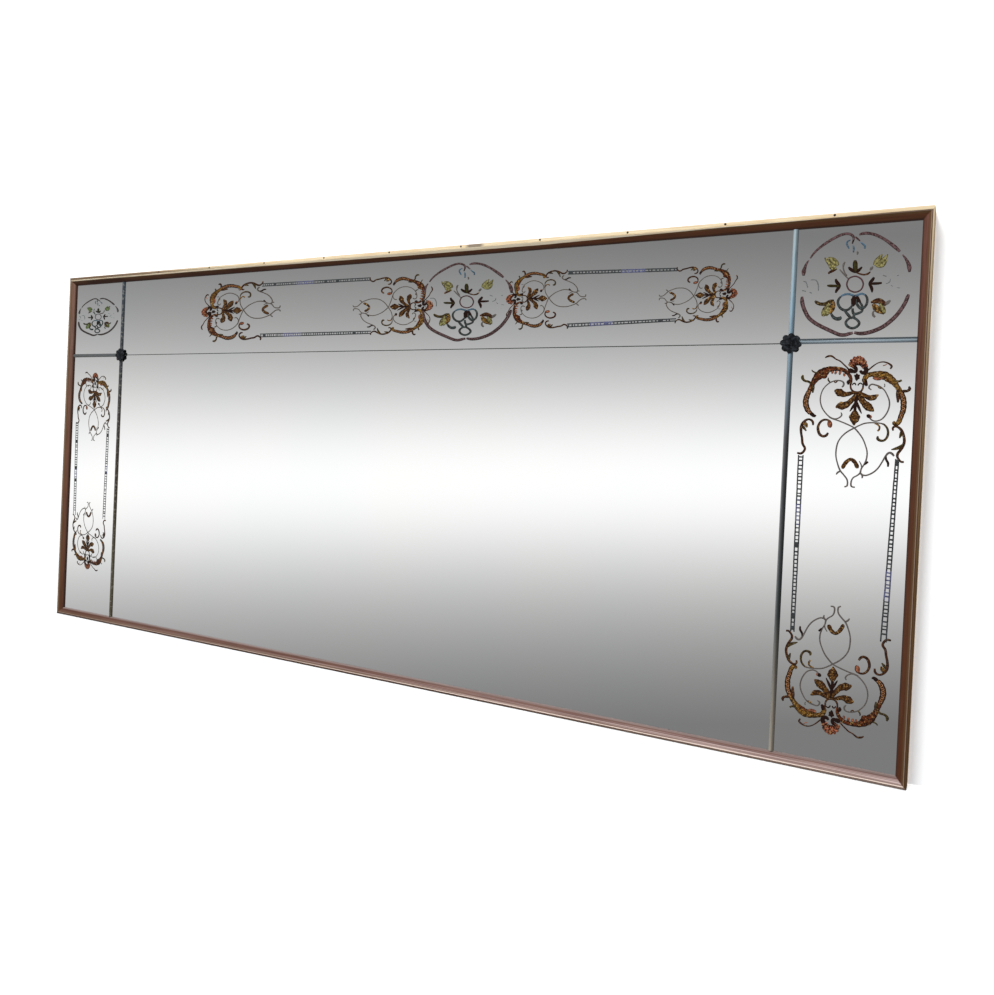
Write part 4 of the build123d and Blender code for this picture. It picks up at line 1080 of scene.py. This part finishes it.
# How each member differs: its side and axes, and then its tones.
MEMBERS = {
    "stile_right": dict(
        at=(1, ALONG_X, ALONG_Z),
        tones=((78, 38, 16), (88, 50, 30), (106, 70, 60)),
        bead=(
            (0.0, (84, 58, 30)),
            (0.35, (92, 66, 38)),
            (0.6, (122, 98, 68)),
            (0.84, (164, 146, 120)),
            (1.0, (206, 186, 152)),
        ),
        quirk=0.4,
    ),
    "stile_left": dict(
        at=(-1, ALONG_X, ALONG_Z),
        tones=((98, 60, 38), (112, 76, 60), (124, 98, 88)),
        bead=((0.0, (120, 92, 60)), (1.0, (150, 124, 92))),
    ),
    "rail_bottom": dict(
        at=(-1, ALONG_Z, ALONG_X),
        tones=((90, 54, 38), (98, 62, 50), (104, 68, 58)),
        bead=((0.0, (72, 52, 42)), (0.6, (72, 52, 42)), (0.85, (112, 94, 82)), (1.0, (124, 108, 98))),
        # The veil is partly dust and partly painted sheen, the crest carries a painted highlight, and the
        # pale tone by the glass is a painted reflection.
        veil=((0.0, 0.04), (0.5, 0.12), (0.8, 0.3), (1.0, 0.45)),
        crest=((0.0, 0.1), (0.3, 0.3), (0.55, 0.75), (1.0, 1.0)),
        inner=(146, 130, 126),
    ),
    "rail_top": dict(
        at=(1, ALONG_Z, ALONG_X),
        tones=((62, 34, 20), (92, 54, 32), (106, 62, 36)),
        bead=((0.0, (96, 64, 44)), (1.0, (96, 64, 44))),
        bare=((0.0, 12.0), (0.32, 11.4), (0.53, 8.3), (0.69, 8.3), (0.83, 12.4), (0.94, 14.4), (1.0, 15.4)),
    ),
}
for node, looks in MEMBERS.items():
    place = looks.pop("at")
    dress(node, stained("stained_" + node, *place, **looks))


# Slip and nails
# A raw strip of pale wood nailed in a seat along the top, with old round nail heads gone brown.
# It is browner on its outer corner, has painted shade towards its left end, and one grey smudge near the
# middle.
def raw_slip(place):
    x, y, z = place.axes()
    out = (z - HALF_HEIGHT) * 1000
    grain = place.noise(0.0018, (40, 1, 1), 4, 3.0)
    cloud = place.noise(0.03, (4, 1, 1), 3, 7.0)
    face = blend(grain.rising(0.4, 0.7) * 0.5, rgb(234, 218, 184), rgb(204, 172, 126))
    face = blend(cloud.rising(0.5, 0.75) * 0.3, face, rgb(186, 142, 92))
    face = blend(out.rising(20.2, 21.6) * 0.6, face, rgb(160, 116, 72))
    # Painted shade: the slip turns dark brown towards its left end.
    brown = (1 - x.rising(-0.9, -0.2)) * (1 - out.rising(17.6, 19.4) * x.rising(-1.0, -0.4) * 0.9)
    face = blend(brown * 0.9, face, rgb(88, 62, 42))
    smudge = x.rising(0.222, 0.238) * (1 - x.rising(0.262, 0.280))
    face = blend(smudge * (0.4 + cloud * 0.9), face, rgb(96, 84, 78))
    return {"Base Color": face, "Roughness": 0.6 + grain * 0.2, "Normal": grain.bump(0.0002)}


def brown_iron(place):
    rust = place.noise(0.0014, detail=4)
    face = blend(rust.rising(0.4, 0.65), rgb(44, 32, 28), rgb(86, 56, 40))
    return {
        "Base Color": face,
        "Metallic": 0.6 - rust * 0.4,
        "Roughness": 0.5 + rust * 0.3,
        "Normal": rust.bump(0.0001),
    }


dress("top_slip", material("raw_slip", raw_slip))
dress("slip_nails", material("brown_iron", brown_iron))


# Studio
# A pale wall card behind the mirror, a pale floor under it and two soft boxes. The mirror looks
# into a plain room with one band of light at eye height, which fades above and below it.
REACH, WALL_TOP, WALL_GAP = 12.0, 6.0, 0.001
FADE = (1.25, 3.0)


def studio_card(name, corners, lift):
    """A flat card that is white to the camera but for the shadows on it, clear from behind, and
    all white far from the mirror."""
    mesh = bpy.data.meshes.new(name)
    mesh.from_pydata(corners, [], [range(len(corners))])
    card = bpy.data.objects.new(name, mesh)
    bpy.context.scene.collection.objects.link(card)
    paper = bpy.data.materials.new(name)
    paper.use_nodes = True
    tree = paper.node_tree
    tree.nodes.clear()
    lit = Wire.node(tree, "BsdfDiffuse", values={0: (0.8, 0.8, 0.8, 1)})
    seen = Wire.node(tree, "LightPath", output="Is Camera Ray")
    place = Wire.node(tree, "NewGeometry", output="Position")
    away = Wire.node(tree, "VectorMath", {"operation": "LENGTH"}, {0: place}, "Value")
    strength = lift + away.rising(*FADE) * (1 - lift)
    glow = Wire.node(tree, "Emission", values={0: (0.95, 1, 1.06, 1), 1: seen * strength})
    front = Wire.node(tree, "AddShader", values={0: lit, 1: glow})
    behind = Wire.node(tree, "NewGeometry", output="Backfacing")
    clear = Wire.node(tree, "BsdfTransparent")
    shown = Wire.node(tree, "MixShader", values={0: behind, 1: front, 2: clear})
    Wire.node(tree, "OutputMaterial", values={0: shown})
    mesh.materials.append(paper)
    card.visible_glossy = card.visible_diffuse = False
    return card


floor_height = cad_box[0][2]
floor_corners = [(-REACH, -REACH, floor_height), (REACH, -REACH, floor_height)]
floor_corners += [(REACH, REACH, floor_height), (-REACH, REACH, floor_height)]
studio_card("studio_floor", floor_corners, 0.22)
wall_corners = [(-REACH, WALL_GAP, floor_height), (REACH, WALL_GAP, floor_height)]
wall_corners += [(REACH, WALL_GAP, WALL_TOP), (-REACH, WALL_GAP, WALL_TOP)]
wall = studio_card("studio_wall", wall_corners, 0.34)
wall.visible_transmission = wall.visible_shadow = False


def soft_box(name, place, size, power):
    """A square area lamp that faces the middle of the mirror."""
    lamp = bpy.data.lights.new(name, "AREA")
    lamp.size = size
    lamp.energy = power
    box = bpy.data.objects.new(name, lamp)
    box.location = place
    box.rotation_euler = Vector(place).to_track_quat("Z", "Y").to_euler()
    box.visible_glossy = box.visible_camera = False
    bpy.context.scene.collection.objects.link(box)


soft_box("soft_box_above", (-0.2, -3.6, 4.6), 1.8, 370)
soft_box("soft_box_behind", (2.0, 4.2, 3.0), 2.5, 300)

# Camera
# Stands where the camera of the photograph stood, with the same lens and crop.
lens = bpy.data.cameras.new("view")
lens.sensor_fit = "HORIZONTAL"
lens.sensor_width = SENSOR
lens.lens = LENS
lens.shift_y = LENS_SHIFT
camera = bpy.data.objects.new("view", lens)
turn = Matrix((view_right, view_up, -forward)).transposed().to_4x4()
camera.matrix_world = Matrix.Translation(CAMERA_PLACE) @ turn
bpy.context.scene.collection.objects.link(camera)
bpy.context.scene.camera = camera
bpy.context.scene.view_settings.view_transform = "Standard"

# World
# White to the camera. Mirrors see the room's band of light: rise over reach, measured along the
# mirrored line of sight, gives its fade as 1 / (1 + the square of the distance from its middle).
ROOM_LIGHT = 0.42
BAND_MIDDLE, BAND_SPREAD, BAND_FLOOR, BAND_TOP = -0.029, 0.141, 0.195, 1.06
MIRRORED = (1, -1, 1)
world = bpy.data.worlds.new("studio")
bpy.context.scene.world = world
world.use_nodes = True
sky = world.node_tree
sky.nodes.clear()
direction = Wire.node(sky, "TexCoord", output="Generated")
rise, reach = (
    Wire.node(
        sky, "VectorMath", {"operation": "DOT_PRODUCT"}, {0: direction, 1: axis * MIRRORED}, "Value"
    )
    for axis in (view_up, forward)
)
slope = (rise / reach.at_least(0.05) - BAND_MIDDLE) / BAND_SPREAD
band = (1 / (slope**2 + 1)).at_least(BAND_FLOOR) * BAND_TOP
seen, mirrored, through_glass = (
    Wire.node(sky, "LightPath", output="Is " + kind + " Ray") for kind in ("Camera", "Glossy", "Transmission")
)
strength = ROOM_LIGHT + mirrored * (band - ROOM_LIGHT)
white = seen.at_least(through_glass)
strength = strength + white * (1 - strength)
background = Wire.node(sky, "Background", values={0: (1, 1, 1, 1), 1: strength})
Wire.node(sky, "OutputWorld", values={0: background})
